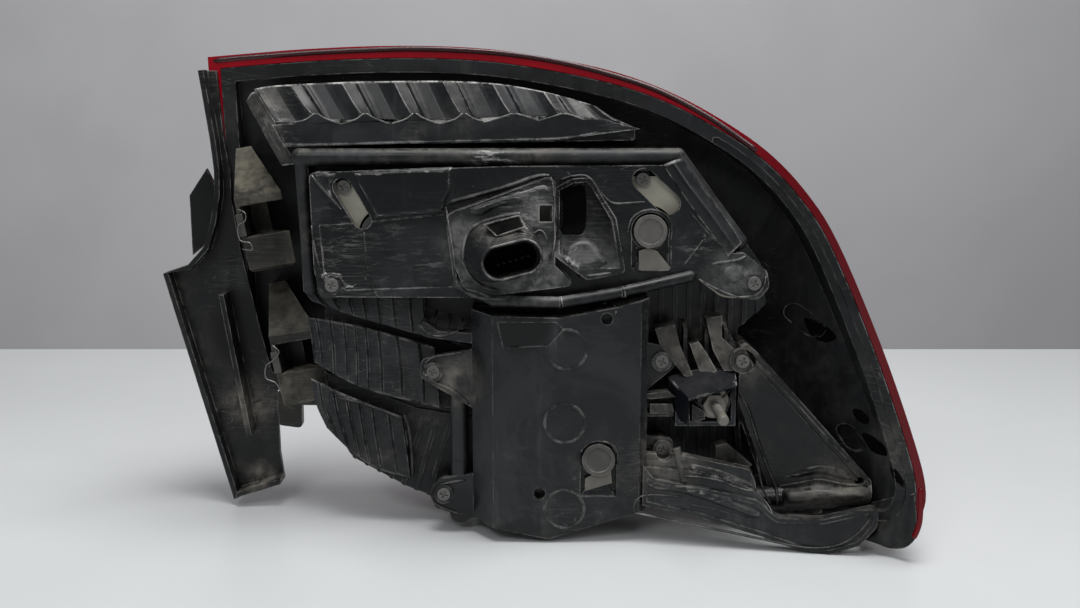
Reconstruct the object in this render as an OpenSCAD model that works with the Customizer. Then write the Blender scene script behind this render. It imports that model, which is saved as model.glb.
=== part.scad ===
// Left-hand rear lamp of a car, as it comes off the car: red outer lens, black housing,
// two bulb carriers screwed on from behind, plug inlet, clip towers and a mounting stud.
// +Y points out through the lens, -Y towards the car body, Z is up.
// Outlines are drawn as [x, z] from a datum on the housing; at_stud() then moves the whole
// lamp so that the root of the mounting stud is the origin.

/* [Lens] */
// Wall of the outer lens
lens_wall = 3.2; // [2.4:0.1:4]
// Width of the weld foot round the lens edge
foot_w = 7; // [5:0.5:9]
// Width of the weld foot where it has gone round the corner
corner_foot_w = 3.6; // [3:0.2:5]
// Thickness of the weld foot
foot_t = 4; // [3:0.5:6]
// Depth of the lens from its edge to its face, on the flat part
lens_depth = 34; // [28:1:42]
// Radius on which the lens edge wraps round the corner of the car
wrap_r = 330; // [320:1:345]
// Radius on which the lens face wraps round the corner
face_r = 193; // [188:1:200]
// Radius of the upright crown of the lens face
crown_r = 620; // [550:10:900]

/* [Housing] */
// Wall of the housing and of the chamber shell
wall = 2.5; // [2:0.1:3.2]
// Distance from the lens face to the housing floor
floor_gap = 14; // [12:0.5:15]
// Width of the flat band beside the lens edge
band_w = 8; // [6:0.5:10]
// Clearance between pieces that sit in one another
fit = 0.3; // [0.2:0.05:0.4]
// Pitch of the upright ribs on the chamber backs
rib_pitch = 8; // [6:0.5:12]
// Width of one rib
rib_w = 2.4; // [1.5:0.1:3.5]
// Height of one rib
rib_h = 1.6; // [1:0.1:2.5]

/* [Stepped reflector] */
// Distance between two steps
step_pitch = 28; // [24:1:32]
// Height of the main ridge of a step
step_h = 4.5; // [3:0.5:6]
// Lean of the ridges from upright
step_lean = 22; // [10:1:28]

/* [Carriers] */
// Thickness of the carrier plates
plate_t = 3; // [2.4:0.1:3.6]
// Distance from the chamber back to the upper carrier plate
seat_h = 21; // [18:1:24]
// How far the lower carrier column stands nearer to the body than the upper plate
column_out = 12; // [8:1:16]
// Thickness of the foam seals
seal_t = 2; // [1.5:0.5:3]
// Radius of the breather caps
cap_r = 9.2; // [8:0.1:10]

/* [Plug inlet] */
// Straight width of the stadium-shaped shroud between its round ends
shroud_w = 17; // [13:1:20]
// Radius of the round ends outside
shroud_r = 8; // [7:0.5:10]
// Wall of the shroud
shroud_wall = 1.8; // [1.4:0.1:2.4]
// How far the shroud stands out of its base
shroud_l = 22; // [16:1:26]
// Number of contact pins
pin_count = 6; // [4:1:8]

/* [Mount] */
// Radius of the mounting stud
stud_r = 3; // [2.5:0.5:4]
// Length of the stud from its root
stud_l = 40; // [30:1:48]
// Width of the nut across its flats
nut_af = 12; // [10:0.5:14]
// Height of the nut
nut_h = 7; // [5:0.5:8]

/* [Side clips] */
// Width of a clip tower
tower_w = 29; // [24:1:32]
// Height of the slot in a clip tower
slot_h = 18; // [14:1:20]
// Thickness of the spring strip
strip_t = 0.9; // [0.6:0.1:1.4]

/* [Fasteners] */
// Radius of a screw head
head_r = 3.8; // [3:0.1:4.4]
// Radius of a screw shank
shank_r = 1.9; // [1.5:0.1:2.3]
// Length of a screw shank
shank_l = 11; // [8:1:13]

/* [Lamps] */
// Radius of a reflector bowl at its mouth
bowl_r = 25.5; // [22:0.5:26]
// Radius of a bulb's glass
glass_r = 9; // [7:0.5:10]
// Radius of a bulb holder
holder_r = 12; // [10:0.5:13]

/* [Hidden] */
$fn = 48;

// Datum values
stud_at = [5, 0];        // stud centre in the drawing
rim_y = 60;              // depth of the lens edge on its flat part
wrap_x = -130;           // where the edge begins to wrap
face_x = -60;            // where the face begins to wrap
crown_z = 62;            // height of the crown's middle
face_y = rim_y + lens_depth;
back_y = plate_t + seat_h;        // body side of the chamber backs
column_y = -column_out;           // body side of the lower carrier
far = 900;

// Colours
black = [0.13, 0.135, 0.14];
dusty = [0.36, 0.34, 0.31];
steel = [0.62, 0.62, 0.6];
cream = [0.8, 0.79, 0.7];
red = [0.72, 0.02, 0.05];

// Outline of the lens: its free edge is a smooth curve, the rest is straight
lens_arc = [[-288, 193], [-230, 197.6], [-175, 199.5], [-128, 198], [-90, 193], [-52, 185],
    [-20, 173.5], [8, 158.5], [34, 140], [54, 118], [70, 91], [91, 38], [107, -12],
    [112.5, -38], [110, -54], [103.5, -64], [92, -69.5]];
lens_foot = [[40, -70.5], [-60, -71.5], [-125, -72], [-163, -62], [-212, -20], [-222, -5],
    [-284, -1]];
lens_edge = concat(spline(lens_arc, 5), lens_foot);
// Inner edge of its weld foot, which narrows round the corner
narrow_l = 130;
foot_wide = mitred(lens_edge, foot_w);
foot_narrow = mitred(lens_edge, corner_foot_w);
foot_line = [for (i = [0:len(lens_edge) - 1])
    let (t = max(0, min(1, (lens_edge[i][0] - face_x) / narrow_l)))
    (1 - t) * foot_wide[i] + t * foot_narrow[i]];

shell_left = -217;
// Outline of the chamber shell
shell_edge = [[-222, 140, 4], [-14, 140, 10], [34, 76, 8], [38, 52, 4], [22, 38, 2],
    [20, -50, 4], [-40, -60, 4], [-128, -66, 4], [-152, -64, 6], [-172, -56, 10],
    [-204, -38, 14], [shell_left, -8, 10], [shell_left, 60, 6]];
// Outline of the stepped reflector, its side view [y, z] and the place of its steps
step_edge = [[-256, 170, 3], [-243, 176, 4], [-198, 178.5, 0], [-143, 178.5, 0], [-115, 176.5, 0],
    [-70, 166, 0], [-40, 153, 3], [-40, 146, 2], [-242, 143, 3]];
step_y = 14;
step_z = 155.5;
step_slope = 38;
step_count = 7;
step_facet = [-243, 160];
facet_lean = 24;
facet_turn = 62;
step_side = [[step_y, 100], [step_y, step_z], [step_y + 24 * tan(step_slope), step_z + 24],
    [far, step_z + 24], [far, 100]];
led_y = 44;
led_posts = [-215, -145, -75];
led_post_r = 3;
// Chamber gaps
chamber_gaps = [
    [[-224, 56], [-222, 53], [-195, 47], [-160, 35], [-160, 38.5], [-195, 50.5]],
    [[-222, 18], [-216, 12], [-190, 0], [-165, -10], [-130, -16], [-130, -12.5], [-165, -6.5],
        [-190, 3.5], [-214, 15]]];
// Left chambers: height of the top edge at the shell's left side, its fall, the chamber's height
chamber_tops = [[70, 17, 18], [49, 17, 36], [8, 17, 62]];
bulge = 5;
// Outline of the upper carrier, its raised plug base and raised box
upper_edge = [[-219, 129, 4], [-109, 132.5, 0], [-22, 133, 5], [14, 85, 6], [7, 76, 3],
    [-10, 72, 4], [-60, 62, 0], [-82, 59.5, 0], [-137, 60, 0], [-200, 60, 4], [-215, 60.5, 6],
    [-218, 76, 0]];
ear_line = line([[-6, 84, 2], [-6, 70, 3], [11, 60, 4], [29, 58.5, 6], [35, 66, 6], [33, 75, 4],
    [20, 85, 3]]);
base_edge = [[-143, 107, 3], [-89, 127, 3], [-84.5, 124, 2], [-84.5, 79, 2], [-73, 68, 3],
    [-118, 62.5, 4], [-134, 66, 4], [-140, 80, 3]];
base_h = 9;
plug_at = [-107, 83.5];
plug_lean = 17;
// Scoop beside the plug base: its outline, and side views [y, z] of its outer skin and its pocket
scoop_edge = [[-84.5, 121, 3], [-75, 126, 4], [-65, 126.5, 3], [-51, 104, 4], [-46, 75, 3],
    [-67, 71, 3], [-84.5, 84, 2]];
scoop_d = 4;
scoop_skin = [[-3, 130], [-3, 102], [-base_h, 80], [-base_h, 68], [1, 68], [scoop_d, 92],
    [scoop_d + wall, 100], [scoop_d + wall, 130]];
scoop_in = [[-far, 130], [scoop_d, 130], [scoop_d, 100], [-base_h + 1, 77.5], [-far, 77.5]];
window_low = [[-190.5, 103], [-22, 112]];
window_r = [5, 6.2];
// Lower carrier: column seen along Z, its outline, its band and lobe
column_x = [-131, -33];
column_back = 14;
column_foot = [[-131, 53], [-118, 51.5], [-82, 50.5], [-50, 56.5], [-33, 61], [-33, -60],
    [-88, -77], [-98, -75], [-131, -68]];
column_edge = [[-131, 53], [-50, 53], [-33, 57], [-33, -57], [-131, -57]];
patch_line = [[-116, 48], [-84, 48], [-80, 44], [-88, 35], [-113, 34]];
rings_at = [[-78, 33], [-79, -9], [-79, -59]];
ring_r = 11.6;
lobe_turn = 10;
lobe_edge = [[-35, -34, 0], [-29, -41, 5], [12, -47, 10], [28, -50, 5], [40, -60, 6],
    [64, -59, 6], [94, -50, 8], [93, -62, 10], [84, -73, 8], [69, -79, 8], [52, -77.5, 8],
    [31, -71, 10], [-4, -62, 20], [-35, -57, 0]];
tier_line = line([[-35, -28, 0], [-12, -28, 4], [24, -34, 4], [29, -46, 3], [12, -44, 4],
    [-29, -38, 4], [-35, -36, 0]]);
tier_low = line([[-35, -35, 0], [-10, -36, 4], [14, -40, 6], [26, -45, 4], [36, -57, 2],
    [30, -57, 4], [8, -48, 6], [-28, -43, 4], [-35, -40, 0]]);
strap_at = [[-17, 5, -24], [-12, 3, -42]];
cover_edge = [[18.6, 33, 2], [22, 35, 3], [29, 29, 4], [93, -42, 5], [92, -53, 4], [78, -62, 8],
    [60, -65, 8], [42, -66, 4], [33, -60, 3], [26, -46, 3], [22, -36, 3], [18.6, -16, 2]];
// Side flange
flange_t = 3;
lip_w = 3.2;
lip_h = 8;
flange_rib_h = 13;
flange_lip = spline([[-282, -75], [-318, 66], [-303, 71], [-293, 82], [-288, 97], [-285, 113],
    [-284.5, 127], [-286, 145], [-291, 185]], 1);
flange_line = concat(flange_lip, [[-282.5, 185], [-280, 145], [-277, 127], [-277, 110],
    [-273, 79], [-263, 30], [-257, 4], [-248, 0], [-248, -7.5], [-254.5, -7.5], [-254, -47],
        [-252, -64], [-277, -73]]);
// Clip towers, drawn from the top front left corner, with a side view of [y, dz]
tower_up = [-269, 112];
tower_low = [-252, 31];
tower_y = 31;
slot_d = 22;
tower_side = [[face_y, 27], [58, 28], [tower_y, 0], [tower_y, -42], [tower_y + 5, -44], [face_y, -36]];
clip_l = 11;
tower_tilt = 10;
// Stud and nut
washer_t = 1.5;
collar_t = 2;
root_r = stud_r + 0.6;
dog_l = 1.5;
stud_boss_r = 5.8;
bracket_x = [-21, 13];
bracket_z = [-14, 17];
bracket_top = 10;
bracket_slope = 22;
bracket_lean = 15;
nut_end = washer_t + nut_h + 0.2;
// Locating tab below the lower tower
tab_edge = [[-253.4, -8, 0], [-239, -8, 0], [-239, -31, 3], [-253.4, -29, 2]];
tab_t = 6;
// Bulbs, screws and other centres
bulbs_up = [[-180, 95], [-125, 95]];
bulbs_low = [[-90, 30], [-90, -32]];
bulbs_all = concat(bulbs_up, bulbs_low);
window_screws = [[-201, 121], [-36, 125]];
ear_screws_at = [[-208, 67], [26, 68]];
column_ears = [[-153, 17], [-148, -55], [-24, 23], [-23, -28]];
cover_ears = [[20, 25]];
cover_hole = [86, -42];
// Rolled foot of the corner cover
cover_roll = [[30, 5, -58.5], [100, -11, -50]];
roll_r = 8;
bead_r = 1.5;
// In the plane of the cover's front: its two beads; the foot and the lean of its ridge
cover_beads = [[[10, 0, 0], [77, 0, -74]], [[6, 0, -4], [70, 0, -75]]];
cover_ridge = [0, -34, 19];
ear_y = 3;
cover_ear_y = -5;
boss_r = 5;
collar_h = 2.2;
collar_w = 1.4;
bar_x = -139;
shelf_z = [1, -9];
cap_up = [-32, 97];
cap_low = [-60, -30];
tail_w = 20;             // width and depth of the tail under a cap's recess
tail_l = 21.5;
column_holes = [[-56, 50], [-93, -50]];
hole_r = 3.2;
panel_y = 7;
panel_t = 2;
seal_in = 0.8;           // the seal lies this far in from the plate's edge
rib_y = back_y - rib_h;  // tops of the ribs
bar_y = 9;
bar_r = 5;
ball = 0.15;             // a ball at a joint is this much larger than its bars
band_in = fit;                       // outer edge of the housing band, from the weld foot
tub_in = band_in + band_w - wall;    // outer side of the tub wall
sheet_t = 2;                         // thickness of the bright sheet
sheet_gap = floor_gap - 1.5 - fit;   // distance from the lens face to its back
bowl_t = 1.2;
bowl_y = back_y + wall + fit;        // rear end of a bowl
bowl_mouth = face_y - sheet_gap + 1;
sheet_y = -60;                       // nearer to the body than any of the sheet
step_in = 4;                         // width of the band beyond its step
band_step_x = 6;
band_step_z = 147;
// Dimples in the wing: two centres and a radius
dimples = [[[57, 45], [66, 38], 5.5], [[77, 0], [82, -6], 4], [[83, -19], [86, -24], 4.5]];

function unit(v) = v / norm(v);
// Smooth curve through the points, n steps to each stretch
function spline(p, n) = [for (i = [0:len(p) - 2], k = [0:(i == len(p) - 2 ? n : n - 1)])
    let (s = k / n, a = p[max(i - 1, 0)], b = p[i], c = p[i + 1], d = p[min(i + 2, len(p) - 1)])
    0.5 * (2 * b + (c - a) * s + (2 * a - 5 * b + 4 * c - d) * s * s
        + (3 * b - a - 3 * c + d) * s * s * s)];
// Corners of [x, z, r] points rounded on about r
function xz(p) = [p[0], p[1]];
function rounded(p, n = 4) = [for (i = [0:len(p) - 1])
    let (c = xz(p[i]), a = xz(p[(i + len(p) - 1) % len(p)]), b = xz(p[(i + 1) % len(p)]),
        r = p[i][2] == undef ? 0 : p[i][2], u = unit(a - c), w = unit(b - c),
        half = acos(max(-1, min(1, u * w))) / 2,
        long = min(r / tan(half), norm(a - c) / 2.05, norm(b - c) / 2.05), t = long < 0.5 ? 0 : long)
    for (k = [0:(t == 0 ? 0 : n)])
        let (s = k / n)
        (1 - s) * (1 - s) * (c + u * t) + 2 * s * (1 - s) * c + s * s * (c + w * t)];
// Clockwise outline moved inwards by d, with its corner radii kept in step
function mitred(p, d) = [for (i = [0:len(p) - 1])
    let (c = xz(p[i]), a = xz(p[(i + len(p) - 1) % len(p)]), b = xz(p[(i + 1) % len(p)]),
        u = unit(c - a), w = unit(b - c), n = [u[1], -u[0]], m = [w[1], -w[0]],
        q = c + d * (n + m) / (1 + n * m), convex = u[0] * w[1] < u[1] * w[0],
        r = p[i][2] == undef ? 0 : p[i][2])
    [q[0], q[1], r == 0 ? 0 : max(r + (convex ? -d : d), 0)]];
function line(p, d = 0) = rounded(mitred(p, d));

// Band of width w along the right-hand side of an open line
function strip(p, w) = concat(p, [for (i = [len(p) - 1:-1:0])
    let (t = unit(p[min(i + 1, len(p) - 1)] - p[max(i - 1, 0)])) p[i] + w * [t[1], -t[0]]]);

// Flat piece: the outline p stands upright between the depths y0 and y1
module slab(p, y0, y1) translate([0, y1, 0]) rotate([90, 0, 0]) linear_extrude(y1 - y0) polygon(p);
// Round bar along Y
module rod(at, y0, y1, r) translate([at[0], y1, at[1]]) rotate([90, 0, 0]) cylinder(h = y1 - y0, r = r);
// Round bar between two points
module bar(a, b, r) translate(a) rotate([0, acos((b - a)[2] / norm(b - a)), atan2((b - a)[1], (b - a)[0])])
    cylinder(h = norm(b - a), r = r, $fn = 32);
function span(at, a, b) = [at + a, at + b];
module box(x, y, z) translate([x[0], y[0], z[0]]) cube([x[1] - x[0], y[1] - y[0], z[1] - z[0]]);
// Everything nearer to the body than the lens face moved in by d
module under(d) intersection() {
    union() {
        box([-far, face_x], [-far, face_y - d], [-far, far]);
        translate([face_x, face_y - face_r, -far]) cylinder(h = 2 * far, r = face_r - d, $fn = 96);
    }
    translate([-far, face_y - crown_r, crown_z]) rotate([0, 90, 0])
        cylinder(h = 2 * far, r = crown_r - d, $fn = 96);
}
// Everything nearer to the body than the wrapped surface of the lens edge, moved out by d
module behind(d) union() {
    box([-far, wrap_x], [-far, rim_y + d], [-far, far]);
    translate([wrap_x, rim_y - wrap_r, -far]) cylinder(h = 2 * far, r = wrap_r + d, $fn = 96);
}
// Everything at least d above the straight foot of the lens edge
module above_foot(d) slab(concat([for (p = lens_foot) p + [0, d]],
    [[-far, 0], [-far, far], [far, far], [far, 0]]), -far, far);
module at_stud() translate([-stud_at[0], 0, -stud_at[1]]) children();

// Material past the wrapped surface of the lens edge
module past_edge(d) difference() {
    children();
    behind(d);
}
// Room for what stands in the housing tub or in front of the lens edge
module in_tub() union() {
    behind(-fit);
    intersection() {
        slab(line(foot_line, tub_in + wall + fit), -far / 2, far);
        under(floor_gap + wall + fit);
    }
}
// Ring between the outline p moved in by a and the same moved in by b
module ring(p, a, b, y0, y1) difference() {
    slab(line(p, a), y0, y1);
    slab(line(p, b), y0 - 1, y1 + 1);
}
// Slot with round ends from a to b
module slot(a, b, r, y0, y1) {
    n = r * [-unit(b - a)[1], unit(b - a)[0]];
    rod(a, y0, y1, r);
    rod(b, y0, y1, r);
    slab([a + n, b + n, b - n, a - n], y0, y1);
}
// Outline [y, z] drawn across the lamp from x0 to x1
module across(p, x0, x1) translate([x0, 0, 0]) rotate([90, 0, 90]) linear_extrude(x1 - x0) polygon(p);

module outer_lens() color(red) at_stud() past_edge(0) difference() {
    intersection() {
        slab(lens_edge, -far / 3, face_y + 1);
        under(0);
    }
    past_edge(foot_t) intersection() {
        slab(line(lens_edge, lens_wall), -far / 3, face_y + 1);
        under(lens_wall);
    }
    intersection() {
        slab(line(foot_line), -far / 3, face_y + 1);
        behind(foot_t + 1);
    }
}

// Tub inside the lens edge: flat band, side wall, floor with two windows
module lamp_housing() color(black) at_stud() difference() {
    past_edge(0) difference() {
        union() {
            intersection() {
                slab(line(foot_line, tub_in), -far / 3, face_y);
                under(floor_gap);
            }
            intersection() {
                slab(line(foot_line, band_in), -far / 3, face_y);
                behind(wall);
            }
        }
        intersection() {
            slab(line(foot_line, tub_in + wall), -far / 3, face_y);
            under(floor_gap + wall);
        }
    }
    slab(line(shell_edge, -fit), 0, face_y);
    slab(line(step_edge, -fit), 0, face_y);
    // oval dimples in the wing
    for (d = dimples) intersection() {
        slot(d[0], d[1], d[2], -far / 2, far);
        under(floor_gap + wall - 1.4);
    }
    // the band stops short of the tub's mouth beyond the step
    intersection() {
        ring(foot_line, band_in + step_in, tub_in + wall + 1, -far / 3, face_y);
        behind(wall - 1);
        box([band_step_x, far], [-far, far], [-far, band_step_z]);
    }
}

// Trim channel on the boot-lid side: beaded plate, wing, rib and floor ledge
module side_flange() color(black) at_stud() {
    plate_y = rim_y - flange_t;
    slab(flange_line, plate_y, rim_y);
    slab(strip(flange_lip, lip_w), plate_y - lip_h, plate_y + 1);
    slab([[-291, 128], [-302, 112], [-302, 76], [-292, 84], [-287, 97], [-285, 115]], plate_y, rim_y);
    slab([[-284, 54], [-281, 54], [-268, -32], [-271, -34]], plate_y - flange_rib_h, plate_y + 1);
    slab([[-280, -73], [-252, -64], [-252, -60.5], [-279, -69.5]], plate_y - 12, plate_y + 1);
}

// Clip tower: sloping roof that is narrow at the back, slot open to the inner side, lower lip
module clip_tower(at) intersection() {
    difference() {
        tilted(at) intersection() {
            difference() {
                across([for (p = tower_side) [p[0], at[1] + p[1]]], at[0], at[0] + tower_w + 3);
                box([at[0] + wall, far], [-far, tower_y + slot_d], span(at[1] - 5, -slot_h, 0));
            }
            translate([at[0], 0, -far]) linear_extrude(2 * far)
                polygon([[-3, face_y], [4, face_y], [10, rim_y - 2], [tower_w, tower_y - 1],
                    [0, tower_y - 1]]);
        }
        slab(line(shell_edge, -fit), back_y - 1, far);
    }
    in_tub();
}
module tilted(at) translate([at[0], 0, at[1]]) rotate([0, -tower_tilt, 0])
    translate([-at[0], 0, -at[1]]) children();
module upper_clip_tower() color(dusty) at_stud() clip_tower(tower_up);
module lower_clip_tower() color(dusty) at_stud() {
    clip_tower(tower_low);
    // foot that closes the gap to the chamber shell
    intersection() {
        box([tower_low[0] + tower_w / 2, shell_left - fit], [tower_y + 3, rim_y + wall],
            span(tower_low[1], -42, -26));
        in_tub();
    }
    slab(line(tab_edge), rim_y - tab_t, rim_y - fit);
}

// Spring strip folded round the front edge of a tower's side wall
module spring_clip(at) tilted(at) difference() {
    box(span(at[0], -strip_t, wall + strip_t), span(tower_y, -strip_t, clip_l),
        span(at[1] - slot_h, -4, 9));
    box(span(at[0], 0, wall), [tower_y, far], [-far, far]);
}
module upper_spring_clip() color(steel) at_stud() spring_clip(tower_up);
module lower_spring_clip() color(steel) at_stud() spring_clip(tower_low);

// Corrugated back: one main and one lesser ridge to each step
module stepped_reflector() color(black) at_stud() {
    intersection() {
        difference() {
            union() {
                intersection() {
                    across(step_side, -far, far);
                    slab(line(step_edge), -far, face_y);
                }
                intersection() {
                    slab(line(step_edge), -far, face_y);
                    box([-far, far], [step_y, face_y], [step_z - 1, far]);
                    for (i = [0:step_count - 1]) step_ridges(-229 + i * step_pitch);
                }
            }
            difference() {
                intersection() {
                    across(step_side, -far, far);
                    translate([0, wall + 1, 0]) across(step_side, -far, far);
                    slab(line(step_edge, wall), -far, face_y + 1);
                }
                for (x = led_posts) rod([x, step_z - 3], 0, led_y, led_post_r);
            }
        }
        under(floor_gap - 1.5);
        // facet at the boot-lid end
        translate([step_facet[0], step_y, step_facet[1]]) rotate([0, -facet_lean, 0])
            rotate([0, 0, -facet_turn]) translate([-far, 0, -far]) cube(2 * far);
    }
}
// A crest with two flanks and a lesser flat ridge beside it; it ends in the plane of the flat band
module step_ridges(x) translate([x, step_y, step_z]) rotate([-step_slope, -step_lean, 0])
    translate([0, 0, -8]) linear_extrude(52) polygon([[-9.5, 3], [-9.5, 0], [-4.5, -step_h * 0.36],
        [0, -step_h], [7.4, -step_h * 0.12], [8.2, -step_h * 0.12], [9.2, -step_h * 0.55],
        [13.8, -step_h * 0.55], [15.5, 0], [15.5, 3]]);

// Board with one light source to each step
module led_board() color([0.12, 0.3, 0.16]) at_stud() {
    slab(line(step_edge, wall + fit), led_y, led_y + 1.6);
    for (i = [0:step_count - 1])
        rod([-229 + i * step_pitch, step_z - 3], led_y + 1, led_y + 4, 2.5);
}

// Tub that holds the reflector bowls, with its ribbed backs, seats, bosses and fins
module chamber_shell() color(black) at_stud() {
    difference() {
        union() {
            intersection() {
                slab(line(shell_edge), back_y, face_y);
                under(floor_gap - 1.5);
                union() {
                    behind(-fit);
                    slab(line(foot_line, band_in), -far / 3, far);
                }
            }
            intersection() {
                slab(line(shell_edge), 0, face_y);
                for (x = [-128 : rib_pitch : 34])
                    box(span(x, 0, rib_w), span(back_y, -rib_h, 1), [-far, 70]);
            }
            intersection() {
                slab(line(shell_edge), 0, face_y);
                box([shell_left, column_x[0] - fit], [0, back_y + 1], [-far, 70]);
                for (c = chamber_tops) chamber_back(c);
            }
            carrier_seats();
        }
        slab(line(shell_edge, wall), back_y + wall, far);
        for (b = bulbs_up) rod(b, 0, far, holder_r + 1);
        for (b = bulbs_low) rod(b, 0, far, holder_r + 1);
        // shadow gaps between the chambers
        for (g = chamber_gaps) slab(g, 0, back_y + wall - 0.8);
        for (p = concat(ear_screws_at, column_ears, window_screws, cover_ears))
            rod(p, -far, back_y + wall - 1, shank_r + 0.1);
    }
    for (x = [-10, 2, 13]) across([[back_y + 1, 44], [back_y - 14, 40], [10, 30], [6, 17.5],
        [back_y + 1, 17.5]], x - 1, x + 1);
}
// Back of one chamber: it stands out more and more towards its foot, with its ribs
module chamber_back(c) translate([shell_left, 0, c[0]]) rotate([0, c[1], 0]) {
    across(chamber_side(c[2], 0), -10, 100);
    intersection() {
        across(chamber_side(c[2], rib_h), -10, 100);
        for (x = [3 : rib_pitch : 90]) box(span(x, 0, rib_w), [0, back_y + 1], [-far, far]);
    }
}
function chamber_side(h, more) = [[back_y + 1, 0], [back_y - bulge * 0.6 - more, -h * 0.45],
    [back_y - bulge - more, 2 - h], [back_y - bulge + 2, -h], [back_y + 1, -h]];
module carrier_seats() {
    ring(upper_edge, seal_in, seal_in + wall, plate_t + seal_t, back_y + 1);
    ring(column_edge, 0, 4, column_back + seal_t, back_y + 1);
    for (p = ear_screws_at) rod(p, plate_t, back_y + 1, boss_r);
    for (p = window_screws) rod(p, panel_y + panel_t, back_y + 1, boss_r);
    for (p = column_ears) rod(p, ear_y + plate_t, back_y + 1, boss_r);
    for (p = cover_ears) rod(p, cover_ear_y + plate_t, back_y + 1, boss_r);
    // rounded frame round the upper carrier
    slab([[-228, 141], [-15, 141], [-6, 131], [20, 95], [22, 86], [16, 84], [-20, 134.5], [-221, 134.5],
        [-220, 64], [-222, 60], [-226, 62]], bar_y, back_y + 1);
    bar([-225, bar_y, 137], [-17, bar_y, 137], bar_r);
    translate([-225, bar_y, 137]) sphere(bar_r + ball);
    bar([-225, bar_y, 137], [-222, bar_y, 62], bar_r - 1.5);
    translate([-17, bar_y, 137]) sphere(bar_r + ball);
    bar([-17, bar_y, 137], [18, bar_y, 90], bar_r);
    translate([18, bar_y, 90]) sphere(bar_r + ball);
}

// Bright sheet with one bowl to each bulb
module inner_reflector() color([0.85, 0.86, 0.88]) at_stud() difference() {
    intersection() {
        union() {
            difference() {
                slab(line(shell_edge, wall + fit), sheet_y, face_y);
                under(sheet_gap);
            }
            for (b = bulbs_all) bowl(b, bowl_t, 0);
        }
        under(sheet_gap - sheet_t);
        above_foot(foot_w + 3);
    }
    for (b = bulbs_all) bowl(b, 0, 1);
}
// Cone round a bulb, from the chamber back to just past the sheet
module bowl(at, more, past) translate([at[0], bowl_y - past, at[1]]) rotate([-90, 0, 0])
    cylinder(h = bowl_mouth - bowl_y + 2 * past, r1 = holder_r + 2 + more, r2 = bowl_r + more);

// Cream plate behind the oval windows
module cream_panel() color(cream) at_stud() difference() {
    intersection() {
        slab(line(upper_edge, 6 + fit), panel_y, panel_y + panel_t);
        slab(line([[-213, 130, 4], [-24, 131, 4], [-8, 112, 4], [-14, 96, 4], [-212, 90, 4]]),
            panel_y, panel_y + panel_t);
    }
    for (b = bulbs_up) rod(b, -far, far, holder_r + 1.5);
    keyhole(cap_up, -far, far, 3);
    for (p = window_screws) rod(p, -far, far, shank_r + fit);
}

module upper_seal() color([0.2, 0.2, 0.2]) at_stud() difference() {
    ring(upper_edge, seal_in, seal_in + wall, plate_t, plate_t + seal_t);
    for (p = ear_screws_at) rod(p, -far, far, boss_r + fit);
}
module lower_seal() color([0.2, 0.2, 0.2]) at_stud()
    ring(column_edge, 0, 4, column_back, column_back + seal_t);

// Plate with two oval windows, raised plug base, raised box and breather recess
module upper_carrier() color(black) at_stud() {
    upper_plate();
    tail_wedge(cap_up, panel_y - 3.5);
}
module upper_plate() difference() {
    union() {
        slab(line(upper_edge), 0, plate_t);
        slab(ear_line, 0, plate_t);
        slab(line(base_edge), -base_h, 1);
        intersection() {
            slab(line(scoop_edge), -far, far);
            across(scoop_skin, -far, far);
        }
        keyhole(cap_up, plate_t - 1, panel_y, 1.5);
        // ledge along the lower edge
        for (i = [0:len(ledge_at) - 2]) bar(ledge_at[i], ledge_at[i + 1], ledge_r);
        for (p = ledge_at) translate(p) sphere(ledge_r + ball);
    }
    for (i = [0, 1]) slot(window_screws[i], window_low[i], window_r[i], -1, plate_t + 1);
    keyhole(cap_up, -1, panel_y - 2);
    slab([[-196, 101], [-149, 106], [-144, 100], [-140, 66], [-200, 64], [-212, 70], [-214, 100]],
        -1, plate_t * 0.4);
    for (p = ear_screws_at) rod(p, -1, far, shank_r + fit);
    // latch window and small recess in the plug base
    box([-93, -86], [-base_h - 1, -base_h + 5], [103, 112]);
    // the plug base is hollow behind, the scoop is open in front
    slab(line(base_edge, wall), -base_h + wall, far);
    intersection() {
        slab(line(scoop_edge, wall), -far, far);
        across(scoop_in, -far, far);
    }
}
ledge_r = 3.2;
ledge_at = [[-138, -3, 68], [-118, -8, 59.5], [-82, -8, 58.5], [-48, -7, 64], [-10, -2, 72]];
// Round recess for a breather cap, with a square tail below it and a wedge in the tail
module keyhole(at, y0, y1, more = 0) {
    rod(at, y0, y1, cap_r + 1.2 + more);
    box(span(at[0], -tail_w / 2 - more, tail_w / 2 + more), [y0, y1 - 2],
        span(at[1], -tail_l - more, 0));
}
module tail_wedge(at, y) intersection() {
    slab([[at[0], at[1] - cap_r], [at[0] + tail_w / 2, at[1] - tail_l], [at[0] - tail_w / 2, at[1] - tail_l]],
        y - 5, y);
    translate([at[0], y, at[1] - cap_r]) rotate([-16, 0, 0]) translate([-20, 0, -30]) cube([40, 20, 30]);
}

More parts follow.
